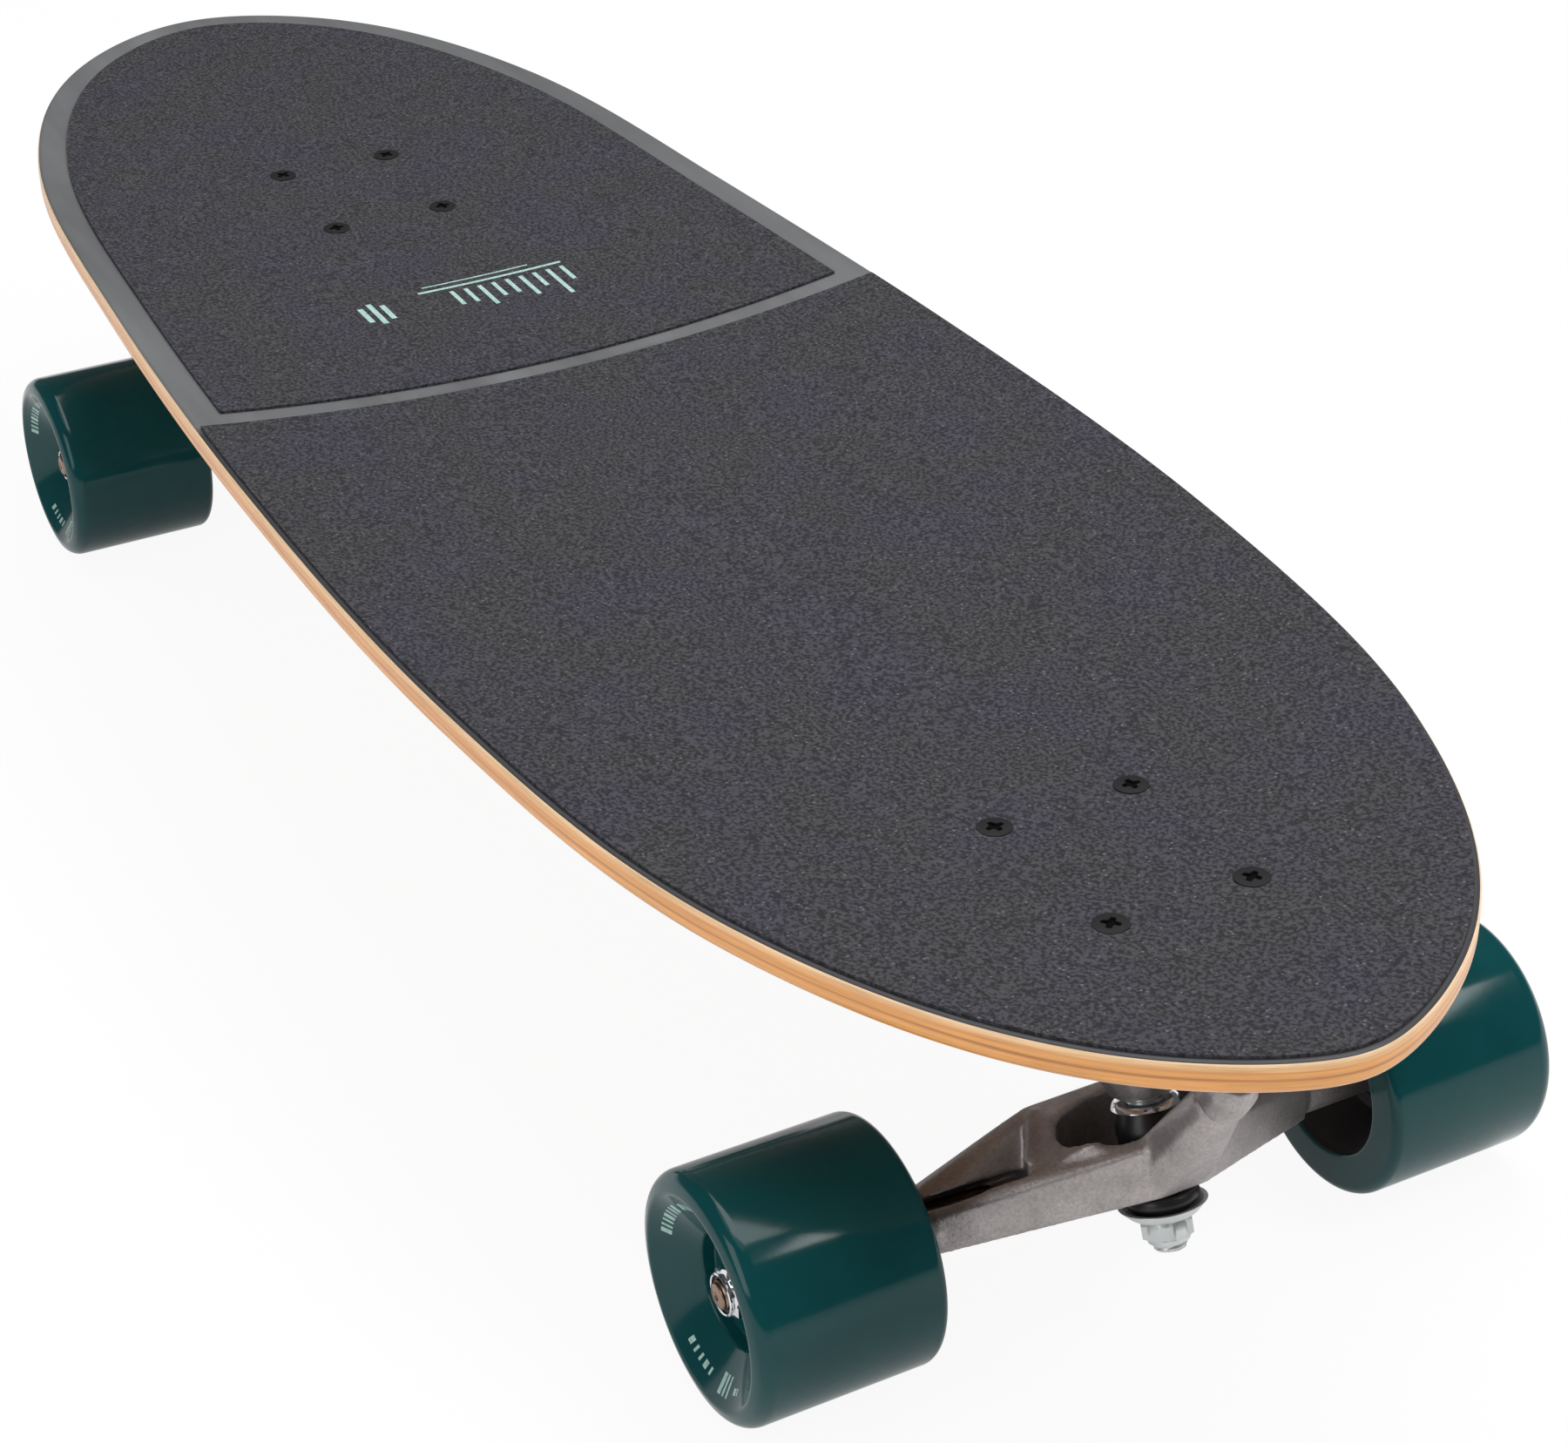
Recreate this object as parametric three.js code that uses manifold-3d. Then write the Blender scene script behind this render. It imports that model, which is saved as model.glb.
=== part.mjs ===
// A surf skateboard: a wide laminated deck with two grip sheets, a tall steep front truck
// that carves, a calmer rear truck, and four wide urethane wheels on ball bearings.
// Millimetres, +Z up, +X toward the nose, +Y to the rider's left.
// The origin is on the ground, halfway along the deck.

import * as THREE from 'three';
import { mergeVertices } from 'three/addons/utils/BufferGeometryUtils.js';
import { ConvexGeometry } from 'three/addons/geometries/ConvexGeometry.js';
import Module from 'manifold-3d';

const wasm = await Module();
wasm.setup();

// Clearances and overruns that every piece shares
const seatGap = 0.3;
const runningGap = 0.35;
const cutOverrun = 2;

// Deck plan: a half width that swells from the tail to the waist and tapers to a blunt nose
const deckLength = 804;
const deckWidth = 250;
const deckThickness = 9.5;
const noseOverhang = 103.5;
const tailOverhang = 189.3;
const fullnessShares = [1.105, 1.197, 1.132, 1.009, 0.998, 1.067, 1.161, 1.124, 0.814];
const topEdgeRadius = 2;
const bottomEdgeRadius = 3.2;

// Deck bends: the low point lies ahead of the middle, tail and nose rise from it
const lowPointAhead = 196;
const tailKick = 16.3;
const tailKickPower = 3.13;
const noseKick = 8.6;
const noseKickPower = 2;
const concaveRise = 7.2;
const spineShare = 0.8;
const ringShares = [0, 0.4, 0.75];
const edgeSteps = 2;
const outlinePoints = 48;

// Grip sheets and the bare band between them
const gripThickness = 0.7;
const gripEdgeInset = 2.1;
const padEdgeInset = 11.5;
const bandBehindMiddle = 44;
const bandWidth = 9;
const bandBow = 5;
const gripSteps = 13;
const gripRows = 6;

// Deck bolts on the common 41.3 by 54 pattern, with lock nuts under the baseplates
const boltSpacingAcross = 41.3;
const boltSpacingAlong = 54;
const boltShankRadius = 2.4;
const boltHeadRadius = 4.7;
const boltHeadHeight = 2.9;
const boltTipBeyondNut = 1.2;
const deckNutAcrossFlats = 9.5;
const deckNutHeight = 5.2;

// Baseplates
const plateLength = 84;
const plateWidth = 58;
const plateThickness = 6;
const plateCornerRadius = 9;
const plateEdgeRise = 1.2;
const towerTopHalfLength = 15;
const towerTopHalfWidth = 12.5;
const bossRadius = 8.8;
const bossFlareRadius = 12;
const bossFlareHeight = 7;
const bossWallThickness = 9;
const kingpinPocketRadius = 8.4;
const housingRadius = 7.2;
const housingHeight = 10.5;
const housingMouth = 1.5;
const ribThickness = 8;

// Kingpin stack, measured along the kingpin from the rim of the road washer
const kingpinRadius = 4.7;
const kingpinHeadAcrossFlats = 13.5;
const kingpinHeadHeight = 5;
const kingpinTipBeyondNut = 2;
const kingpinNutAcrossFlats = 13.4;
const kingpinNutHeight = 7;
const roadWasherRadius = 12;
const roadWasherDepth = 4.2;
const roadWasherFloorRadius = 8.6;
const boardWasherRadius = 9.5;
const boardWasherDepth = 2.6;
const washerWall = 1.3;
const roadBushingRise = 3.2;
const roadBushingTopRadius = 9.4;
const webThickness = 6;
const webRadius = 12.5;
const boardBushingHeight = 15.6;
const boardBushingRadius = 9.2;
const boardBushingWaistRadius = 8.6;
const bushingGap = 0.4;
const kingpinHoleRadius = 6.4;

// Pivot between the hanger nose and the baseplate
const pivotNoseRadius = 3.8;
const pivotCupWall = 1.3;
const pivotCupDepth = 9;
const neckRadius = 6.8;

// Hangers, axles and what rides on them
const axleRadius = 3.97;
const hangerHalfWidth = 84.2;
const barrelRadius = 8;
const armEndRadius = 9;
const armEndHalfWidth = 58;
const axleNutAcrossFlats = 12.7;
const axleNutThickness = 5.4;
const speedWasherRadius = 6.4;
const speedWasherThickness = 0.8;

// Bearings: the common 22 by 8 by 7 size
const bearingRadius = 11;
const bearingBoreRadius = 4;
const bearingWidth = 7;
const bearingSpacing = 10.2;
const bearingShieldInset = 0.4;
const bearingInnerRingRadius = 6;
const bearingOuterRingRadius = 9.2;

// Wheels
const wheelRadius = 34;
const wheelWidth = 54;
const wheelEdgeRadius = 5.3;
const wheelSides = 24;
const outerLipWidth = 1.4;
const outerDishDepth = 6.5;
const outerRecessRadius = 14.2;
const innerLipWidth = 4.5;
const innerDishDepth = 3.4;
const innerRecessRadius = 14.6;
const outerBearingInset = 13.2;

// What is stacked on each axle end sets where the wheels and the axle's tips stand
const innerBearingStandOff = 0.9;
const axleTipBeyondNut = 1.1;
const wheelOuterFace = hangerHalfWidth + innerBearingStandOff
  + 2 * bearingWidth + bearingSpacing + outerBearingInset;
const axleHalfLength = wheelOuterFace - outerBearingInset
  + 2 * seatGap + speedWasherThickness + axleNutThickness + axleTipBeyondNut;

const hexAngle = Math.PI / 6;

// Where each truck's parts lie in its own frame: "reach" is toward the board's end,
// "drop" is below the deck's underside, and the rest is measured from the axle
const frontTruck = {
  name: 'front',
  axleReach: -4,
  axleDrop: 84.6,
  washerReach: 25.1,
  washerRise: 1.6,
  pivotReach: 50.6,
  pivotRise: 49.2,
  kingpinLean: THREE.MathUtils.degToRad(18.8),
  bodyReach: 32,
  bodyRise: 27,
  pocketHalfWidth: 24.5,
  pocketInboard: 17.5,
  pocketOutboard: 10.6,
};
const rearTruck = {
  name: 'rear',
  axleReach: 30.5,
  washerReach: -23,
  washerRise: -1,
  pivotReach: 19,
  pivotRise: 31,
  kingpinLean: THREE.MathUtils.degToRad(-8),
  bodyReach: 12,
  bodyRise: 12,
};

// Corners of each hanger's cast forms: how far out along the arm, then reach and rise from
// the axle, in shares of the arm's length and the body's reach and rise
const wallCornerShares = [[0.39, -0.19, 0.74], [0.39, -0.04, 0.78]];
const bellyCornerShares = [[0.39, 0.11, -0.3], [0.39, -0.25, -0.1]];
const frontTipShares = [[0.13, 1.09, 0.38], [0.13, 1.08, 0.8]];
const frontArmShares = [
  ...wallCornerShares, ...bellyCornerShares, [0.62, 0.38, 0.06], [0.62, 0.45, -0.05],
];
const frontBlockShares = [
  ...wallCornerShares, ...bellyCornerShares, ...frontTipShares,
  [0.6, 0.49, 0.57], [0.6, 0.6, 0.05], [0.36, 0.73, 0.94],
];
const frontRailShares = [
  [1, 0.26, -0.2], [1, 0.23, 0.2], [1, 0.11, 0.27], [1, 0.12, -0.26],
  [0.13, 1.09, 0.38], [0.13, 1.11, 1.02], [0.13, 0.96, 1.06], [0.13, 0.92, 0.36],
];
const frontFootShares = [
  [0.13, 1.09, 0.38], [0.13, 1.1, 0.98], [0.17, 0.84, 0.88], [0.215, 0.85, 0.38],
];
const rearArmShares = [
  [0.29, -0.85, 0.75], [0.29, 0.5, 1], [0.29, 0.85, 0.35],
  [0.29, 0.7, -0.5], [0.29, 0, -0.8], [0.29, -0.85, -0.45],
];
const rearFootShares = [
  [0.2, -0.2, 0.7], [0.24, 0.5, 1], [0.24, 0.85, 0.35], [0.2, 0.6, -0.3],
];

const palette = {
  deck: { color: 0xd09a5c, roughness: 0.45, metalness: 0 },
  grip: { color: 0x48484d, roughness: 0.95, metalness: 0 },
  blackSteel: { color: 0x1b1b1d, roughness: 0.5, metalness: 0.6 },
  castMetal: { color: 0x8f8782, roughness: 0.5, metalness: 0.8 },
  zinc: { color: 0xc9ccce, roughness: 0.3, metalness: 0.9 },
  chrome: { color: 0xd8dadc, roughness: 0.12, metalness: 1 },
  axleSteel: { color: 0x8a7466, roughness: 0.35, metalness: 0.9 },
  bushing: { color: 0x141414, roughness: 0.6, metalness: 0 },
  urethane: { color: 0x0f3c42, roughness: 0.25, metalness: 0 },
  cup: { color: 0x202022, roughness: 0.7, metalness: 0 },
};

const materials = Object.fromEntries(
  Object.entries(palette).map(([name, look]) => [name, new THREE.MeshStandardMaterial(look)]),
);

const board = new THREE.Group();

// Solids: from a three.js geometry to a closed solid and back

function indexWithoutSlivers(geometry) {
  const index = geometry.index.array;
  const kept = [];
  for (let i = 0; i < index.length; i += 3) {
    const [a, b, c] = [index[i], index[i + 1], index[i + 2]];
    if (a !== b && b !== c && c !== a) kept.push(a, b, c);
  }
  return new Uint32Array(kept);
}

function solid(geometry) {
  const bare = new THREE.BufferGeometry();
  bare.setAttribute('position', geometry.getAttribute('position').clone());
  if (geometry.index) bare.setIndex(geometry.index.clone());
  const merged = mergeVertices(bare);
  const mesh = new wasm.Mesh({
    numProp: 3,
    vertProperties: new Float32Array(merged.getAttribute('position').array),
    triVerts: indexWithoutSlivers(merged),
  });
  return new wasm.Manifold(mesh);
}

function geometryOf(manifold) {
  const mesh = manifold.getMesh();
  const geometry = new THREE.BufferGeometry();
  geometry.setAttribute('position', new THREE.BufferAttribute(mesh.vertProperties, 3));
  geometry.setIndex(new THREE.BufferAttribute(mesh.triVerts, 1));
  geometry.computeVertexNormals();
  return geometry;
}

function addPiece(name, shape, look, parent = board) {
  const piece = new THREE.Mesh(geometryOf(shape), materials[look]);
  piece.name = name;
  parent.add(piece);
  return piece;
}

// A solid of revolution about +Z from [radius, height] pairs that end on the axis or close
function turned(profile, sides) {
  const points = profile.map(([radius, height]) => new THREE.Vector2(radius, height));
  return solid(new THREE.LatheGeometry(points, sides).rotateX(Math.PI / 2));
}

function prism(points, height) {
  const shape = new THREE.Shape(points);
  return solid(new THREE.ExtrudeGeometry(shape, { depth: height, bevelEnabled: false }));
}

function hexPrism(acrossFlats, height) {
  const corner = acrossFlats / 2 / Math.cos(hexAngle);
  const points = [0, 1, 2, 3, 4, 5].map((side) => {
    const angle = side * 2 * hexAngle;
    return new THREE.Vector2(corner * Math.cos(angle), corner * Math.sin(angle));
  });
  return prism(points, height);
}

function rod(radius, bottom, top, sides = 12) {
  return turned([[0, bottom], [radius, bottom], [radius, top], [0, top]], sides);
}

function hull(points) {
  return solid(new ConvexGeometry(points));
}

function placed(shape, matrix) {
  const moved = geometryOf(shape);
  moved.applyMatrix4(matrix);
  return solid(moved);
}

function shifted(shape, x, y, z) {
  return placed(shape, new THREE.Matrix4().makeTranslation(x, y, z));
}

// A frame whose +Z runs along a direction in the truck's side plane, with Y kept across
function alongSidePlane(origin, direction) {
  const up = direction.clone().normalize();
  const across = new THREE.Vector3(0, 1, 0);
  const ahead = new THREE.Vector3().crossVectors(across, up);
  const matrix = new THREE.Matrix4().makeBasis(ahead, across, up);
  return matrix.setPosition(origin);
}

function discPoints(frame, radius, height, sides = 12) {
  const points = [];
  for (let side = 0; side < sides; side += 1) {
    const angle = (side + 0.5) * 2 * Math.PI / sides;
    const point = new THREE.Vector3(radius * Math.cos(angle), radius * Math.sin(angle), height);
    points.push(point.applyMatrix4(frame));
  }
  return points;
}

function barrelPoints(centre, radius, y, sides = 12) {
  const points = [];
  for (let side = 0; side < sides; side += 1) {
    const angle = (side + 0.5) * 2 * Math.PI / sides;
    points.push(new THREE.Vector3(
      centre.x + radius * Math.cos(angle), y, centre.z + radius * Math.sin(angle),
    ));
  }
  return points;
}

// Deck surface

const noseX = deckLength / 2;
const tailX = -deckLength / 2;
const mountX = { front: noseX - noseOverhang, rear: tailX + tailOverhang };

const fullnessCurve = new THREE.SplineCurve(
  fullnessShares.map((share, i) => new THREE.Vector2(i, share)),
);

// Half width: an ellipse's sine times a smooth fullness curve, pulled in by an inset
function halfWidth(angle, inset) {
  const fullness = fullnessCurve.getPoint(angle / Math.PI).y;
  return (deckWidth / 2 - inset) * Math.sin(angle) * fullness;
}

function outlinePoint(step, count, inset) {
  const turn = 2 * Math.PI * step / count;
  const angle = turn <= Math.PI ? turn : 2 * Math.PI - turn;
  const side = turn <= Math.PI ? -1 : 1;
  const x = -(deckLength / 2 - inset) * Math.cos(angle);
  return new THREE.Vector2(x, side * halfWidth(angle, inset));
}

function halfWidthAt(x, inset) {
  const share = THREE.MathUtils.clamp(-x / (deckLength / 2 - inset), -1, 1);
  return halfWidth(Math.acos(share), inset);
}

// Height of the deck's top over its lowest centre point: end kicks plus side concave
function bendHeight(x, y) {
  const ahead = x - lowPointAhead;
  const kick = ahead < 0
    ? tailKick * (-ahead / (lowPointAhead - tailX)) ** tailKickPower
    : noseKick * (ahead / (noseX - lowPointAhead)) ** noseKickPower;
  return kick + concaveRise * (y / (deckWidth / 2)) ** 2;
}

function bendSlope(x) {
  const ahead = x - lowPointAhead;
  const run = ahead < 0 ? lowPointAhead - tailX : noseX - lowPointAhead;
  const kick = ahead < 0 ? tailKick : noseKick;
  const power = ahead < 0 ? tailKickPower : noseKickPower;
  return Math.abs(power * kick / run * (Math.abs(ahead) / run) ** (power - 1));
}

// Pads: the front truck sets the ride height, the rear axle's drop follows from the deck
frontTruck.tilt = Math.atan(bendSlope(mountX.front));
rearTruck.tilt = Math.atan(bendSlope(mountX.rear));
const frontPadHeight = wheelRadius
  + frontTruck.axleDrop * Math.cos(frontTruck.tilt) - frontTruck.axleReach * Math.sin(frontTruck.tilt);
const lowTopHeight = frontPadHeight + seatGap + deckThickness - bendHeight(mountX.front, 0);

function deckTop(x, y) {
  return lowTopHeight + bendHeight(x, y);
}

const rearPadHeight = deckTop(mountX.rear, 0) - deckThickness - seatGap;
rearTruck.axleDrop = (rearPadHeight - wheelRadius + rearTruck.axleReach * Math.sin(rearTruck.tilt))
  / Math.cos(rearTruck.tilt);

function ringGeometry(rings) {
  const positions = [];
  rings.forEach((ring) => ring.forEach((point) => positions.push(point.x, point.y, point.z)));
  const count = rings[0].length;
  const index = [];
  for (let ring = 0; ring < rings.length - 1; ring += 1) {
    for (let i = 0; i < count; i += 1) {
      const next = (i + 1) % count;
      const [a, b] = [ring * count + i, ring * count + next];
      const [c, d] = [a + count, b + count];
      index.push(a, c, b, b, c, d);
    }
  }
  const geometry = new THREE.BufferGeometry();
  geometry.setAttribute('position', new THREE.Float32BufferAttribute(positions, 3));
  geometry.setIndex(index);
  return geometry;
}

// A ring of the deck between its spine and an inset outline, dropped below the top surface
function deckRing(share, inset, drop) {
  const ring = [];
  for (let i = 0; i < outlinePoints; i += 1) {
    const rim = outlinePoint(i, outlinePoints, inset);
    const spine = new THREE.Vector2(rim.x * spineShare, 0);
    const flat = spine.lerp(rim, share);
    ring.push(new THREE.Vector3(flat.x, flat.y, deckTop(flat.x, flat.y) - drop));
  }
  return ring;
}

function deckBody() {
  const rings = ringShares.map((share) => deckRing(share, topEdgeRadius, 0));
  for (let step = 0; step <= edgeSteps; step += 1) {
    const angle = step / edgeSteps * Math.PI / 2;
    const inset = topEdgeRadius * (1 - Math.sin(angle));
    rings.push(deckRing(1, inset, topEdgeRadius * (1 - Math.cos(angle))));
  }
  for (let step = 0; step <= edgeSteps; step += 1) {
    const angle = step / edgeSteps * Math.PI / 2;
    const inset = bottomEdgeRadius * (1 - Math.cos(angle));
    rings.push(deckRing(1, inset, deckThickness - bottomEdgeRadius * (1 - Math.sin(angle))));
  }
  [...ringShares].reverse().forEach((share) => {
    rings.push(deckRing(share, bottomEdgeRadius, deckThickness));
  });
  return solid(ringGeometry(rings));
}

// A thin sheet over a grid of [x, y] places, lifted clear of the deck
function sheetBody(grid) {
  const rows = grid.length;
  const columns = grid[0].length;
  const lifts = [seatGap, seatGap + gripThickness];
  const positions = [];
  lifts.forEach((lift) => grid.flat().forEach((place) => {
    positions.push(place.x, place.y, deckTop(place.x, place.y) + lift);
  }));
  const at = (layer, i, j) => layer * rows * columns + i * columns + j;
  const index = [];
  const quad = (a, b, c, d) => index.push(a, b, c, a, c, d);
  for (let i = 0; i < rows - 1; i += 1) {
    for (let j = 0; j < columns - 1; j += 1) {
      quad(at(1, i, j), at(1, i + 1, j), at(1, i + 1, j + 1), at(1, i, j + 1));
      quad(at(0, i, j), at(0, i, j + 1), at(0, i + 1, j + 1), at(0, i + 1, j));
    }
    quad(at(0, i, 0), at(0, i + 1, 0), at(1, i + 1, 0), at(1, i, 0));
    const last = columns - 1;
    quad(at(0, i + 1, last), at(0, i, last), at(1, i, last), at(1, i + 1, last));
  }
  for (let j = 0; j < columns - 1; j += 1) {
    quad(at(0, 0, j + 1), at(0, 0, j), at(1, 0, j), at(1, 0, j + 1));
    const last = rows - 1;
    quad(at(0, last, j), at(0, last, j + 1), at(1, last, j + 1), at(1, last, j));
  }
  const geometry = new THREE.BufferGeometry();
  geometry.setAttribute('position', new THREE.Float32BufferAttribute(positions, 3));
  geometry.setIndex(index);
  return solid(geometry);
}

// The bare band bows toward the nose in the middle of the board
function bandEdge(across, offset) {
  return -bandBehindMiddle + offset - bandBow * across ** 2;
}

// Grid rows crowd toward the rounded end, as the cosine of even angles does
function gripGrid(endX, inset, bandOffset) {
  const grid = [];
  for (let i = 0; i <= gripSteps; i += 1) {
    const along = Math.sin(i / gripSteps * Math.PI / 2);
    const row = [];
    for (let j = 0; j <= gripRows; j += 1) {
      const across = 2 * j / gripRows - 1;
      const startX = bandEdge(across, bandOffset);
      const x = startX + (endX - startX) * along;
      const side = endX > startX ? across : -across;
      row.push(new THREE.Vector2(x, side * halfWidthAt(x, inset)));
    }
    grid.push(row);
  }
  return grid;
}

// The truck frames: +X reaches toward the board's end, Z is square to the deck's underside

function truckFrame(truck) {
  const front = truck === frontTruck;
  const frame = new THREE.Group();
  frame.position.set(
    front ? mountX.front : mountX.rear, 0, front ? frontPadHeight : rearPadHeight,
  );
  frame.rotation.y = front ? -truck.tilt : truck.tilt;
  const turn = new THREE.Group();
  turn.rotation.z = front ? 0 : Math.PI;
  frame.add(turn);
  board.add(frame);
  frame.updateMatrixWorld(true);
  return turn;
}

// Places on a truck that its pieces share, in the truck's own frame
function truckPlaces(truck) {
  const axle = new THREE.Vector3(truck.axleReach, 0, -truck.axleDrop);
  const up = new THREE.Vector3(-Math.sin(truck.kingpinLean), 0, Math.cos(truck.kingpinLean));
  const rim = new THREE.Vector3(axle.x + truck.washerReach, 0, axle.z + truck.washerRise);
  const webBottom = roadBushingRise + bushingGap;
  const webTop = webBottom + webThickness;
  const boardWasherRim = webTop + bushingGap + boardBushingHeight;
  const bossSeat = boardWasherRim + boardWasherDepth + washerWall + seatGap;
  const seat = rim.clone().addScaledVector(up, (webBottom + webTop) / 2);
  const pivot = new THREE.Vector3(axle.x + truck.pivotReach, 0, axle.z + truck.pivotRise);
  const steering = pivot.clone().sub(seat).normalize();
  return {
    axle, up, rim, webBottom, webTop, boardWasherRim, bossSeat, seat, pivot, steering,
    kingpinFrame: alongSidePlane(rim, up),
    pivotFrame: alongSidePlane(pivot, steering),
  };
}

function boltPlaces() {
  const places = [];
  [1, -1].forEach((along) => [1, -1].forEach((across) => places.push({
    x: along * boltSpacingAlong / 2, y: across * boltSpacingAcross / 2, along, across,
  })));
  return places;
}

const stackAbovePad = seatGap + deckThickness + seatGap + gripThickness;

function deckBoltBody() {
  const gripTop = stackAbovePad;
  const tip = -plateThickness - seatGap - deckNutHeight - boltTipBeyondNut;
  return turned([
    [0, tip], [boltShankRadius, tip], [boltShankRadius, gripTop - boltHeadHeight],
    [boltHeadRadius, gripTop], [0, gripTop],
  ], 8);
}

function deckNutBody() {
  const body = hexPrism(deckNutAcrossFlats, deckNutHeight);
  const hole = rod(boltShankRadius + seatGap, -cutOverrun, deckNutHeight + cutOverrun, 8);
  return shifted(body.subtract(hole), 0, 0, -plateThickness - seatGap - deckNutHeight);
}

// A hole through the deck and grip with a countersink for the bolt's head
function boltClearanceBody() {
  const radius = boltShankRadius + seatGap;
  const gripTop = stackAbovePad;
  const headRadius = boltHeadRadius + seatGap;
  return turned([
    [0, -plateThickness - cutOverrun], [radius, -plateThickness - cutOverrun],
    [radius, gripTop - boltHeadHeight - seatGap], [headRadius, gripTop - seatGap],
    [headRadius, gripTop + cutOverrun], [0, gripTop + cutOverrun],
  ], 8);
}

function plateOutline(halfLength, halfWidthOfPlate, radius) {
  const shape = new THREE.Shape();
  shape.moveTo(halfLength, halfWidthOfPlate - radius);
  shape.absarc(halfLength - radius, halfWidthOfPlate - radius, radius, 0, Math.PI / 2);
  shape.absarc(-halfLength + radius, halfWidthOfPlate - radius, radius, Math.PI / 2, Math.PI);
  shape.absarc(-halfLength + radius, -halfWidthOfPlate + radius, radius, Math.PI, 3 * Math.PI / 2);
  shape.absarc(halfLength - radius, -halfWidthOfPlate + radius, radius, 3 * Math.PI / 2, 2 * Math.PI);
  return shape;
}

// Baseplate: a rounded plate, a tower down to the kingpin's boss and a ribbed pivot housing
function baseplateBody(places) {
  const plate = solid(new THREE.ExtrudeGeometry(
    plateOutline(plateLength / 2, plateWidth / 2, plateCornerRadius),
    { depth: plateThickness, bevelEnabled: false, curveSegments: 4 },
  ));
  let body = shifted(plate, 0, 0, -plateThickness);
  body = body.add(towerBody(places)).add(pivotHousingBody(places));
  const pocketFloor = kingpinLengthToHead(places) - kingpinHeadHeight - seatGap;
  const pocket = rod(kingpinPocketRadius, pocketFloor, pocketFloor + places.axle.length());
  const shaftHole = rod(kingpinRadius + seatGap, places.bossSeat - cutOverrun, pocketFloor + cutOverrun);
  body = body.subtract(placed(pocket, places.kingpinFrame));
  body = body.subtract(placed(shaftHole, places.kingpinFrame));
  body = body.subtract(placed(pivotRoomBody(), places.pivotFrame));
  boltPlaces().forEach((place) => {
    const hole = rod(boltShankRadius + seatGap, -plateThickness - cutOverrun, cutOverrun, 8);
    const spot = rod(deckNutAcrossFlats / 2 / Math.cos(hexAngle) + runningGap,
      -plateThickness - seatGap - deckNutHeight * 2, -plateThickness, 8);
    body = body.subtract(shifted(hole, place.x, place.y, 0));
    body = body.subtract(shifted(spot, place.x, place.y, 0));
  });
  return body;
}

function kingpinLengthToHead(places) {
  return places.bossSeat + bossWallThickness + kingpinHeadHeight;
}

// The tower follows the kingpin from a narrow boss up to the plate
function towerBody(places) {
  const boss = discPoints(places.kingpinFrame, bossRadius, places.bossSeat);
  const flare = discPoints(places.kingpinFrame, bossFlareRadius, places.bossSeat + bossFlareHeight);
  const plateLevel = -plateThickness + plateEdgeRise;
  const climb = (plateLevel - places.rim.z) / places.up.z;
  const topX = places.rim.x + places.up.x * climb;
  const top = [];
  [-1, 1].forEach((along) => [-1, 1].forEach((across) => top.push(new THREE.Vector3(
    topX + along * towerTopHalfLength, across * towerTopHalfWidth, plateLevel,
  ))));
  return hull([...boss, ...flare, ...top]);
}

// Room in the housing for the cup, and below its mouth for the hanger's neck
function pivotRoomBody() {
  const bore = pivotNoseRadius + pivotCupWall + 2 * seatGap;
  const mouthRoom = housingRadius * 2;
  return turned([
    [0, -housingMouth - mouthRoom], [mouthRoom, -housingMouth - mouthRoom],
    [mouthRoom, -housingMouth - housingRadius], [housingRadius + seatGap, -housingMouth],
    [bore, -housingMouth], [bore, pivotCupDepth - housingMouth + seatGap],
    [0, pivotCupDepth - housingMouth + seatGap],
  ], 12);
}

function pivotHousingBody(places) {
  const crown = discPoints(places.pivotFrame, housingRadius * 0.65, housingHeight);
  const shoulder = discPoints(places.pivotFrame, housingRadius, housingHeight * 0.6);
  const mouth = discPoints(places.pivotFrame, housingRadius, -housingMouth);
  const housing = hull([...crown, ...shoulder, ...mouth]);
  const plateLevel = -plateThickness + plateEdgeRise;
  const web = [];
  [-1, 1].forEach((across) => {
    const y = across * ribThickness / 2;
    web.push(new THREE.Vector3(places.pivot.x, y, places.pivot.z + housingMouth));
    web.push(new THREE.Vector3(places.pivot.x + housingRadius, y, places.pivot.z + housingHeight));
    web.push(new THREE.Vector3(plateLength / 2 - plateEdgeRise, y, plateLevel));
    web.push(new THREE.Vector3(0, y, plateLevel));
    web.push(new THREE.Vector3(places.rim.x + places.up.x * places.bossSeat, y,
      places.rim.z + places.up.z * (places.bossSeat + bossFlareHeight)));
  });
  return housing.add(hull(web));
}

function pivotCupBody() {
  const inner = pivotNoseRadius + seatGap;
  const outer = inner + pivotCupWall;
  const top = pivotCupDepth - housingMouth;
  return turned([
    [0, top], [0, top - pivotCupWall], [inner, top - pivotCupWall], [inner, -housingMouth],
    [outer, -housingMouth], [outer, top], [0, top],
  ], 12);
}

function kingpinBody(places) {
  const headTop = kingpinLengthToHead(places);
  const nutBottom = -roadWasherDepth - seatGap - kingpinNutHeight;
  const tip = nutBottom - kingpinTipBeyondNut;
  const shaft = rod(kingpinRadius, tip, headTop - kingpinHeadHeight + seatGap);
  const head = shifted(hexPrism(kingpinHeadAcrossFlats, kingpinHeadHeight), 0, 0,
    headTop - kingpinHeadHeight);
  return shaft.add(head);
}

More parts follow.
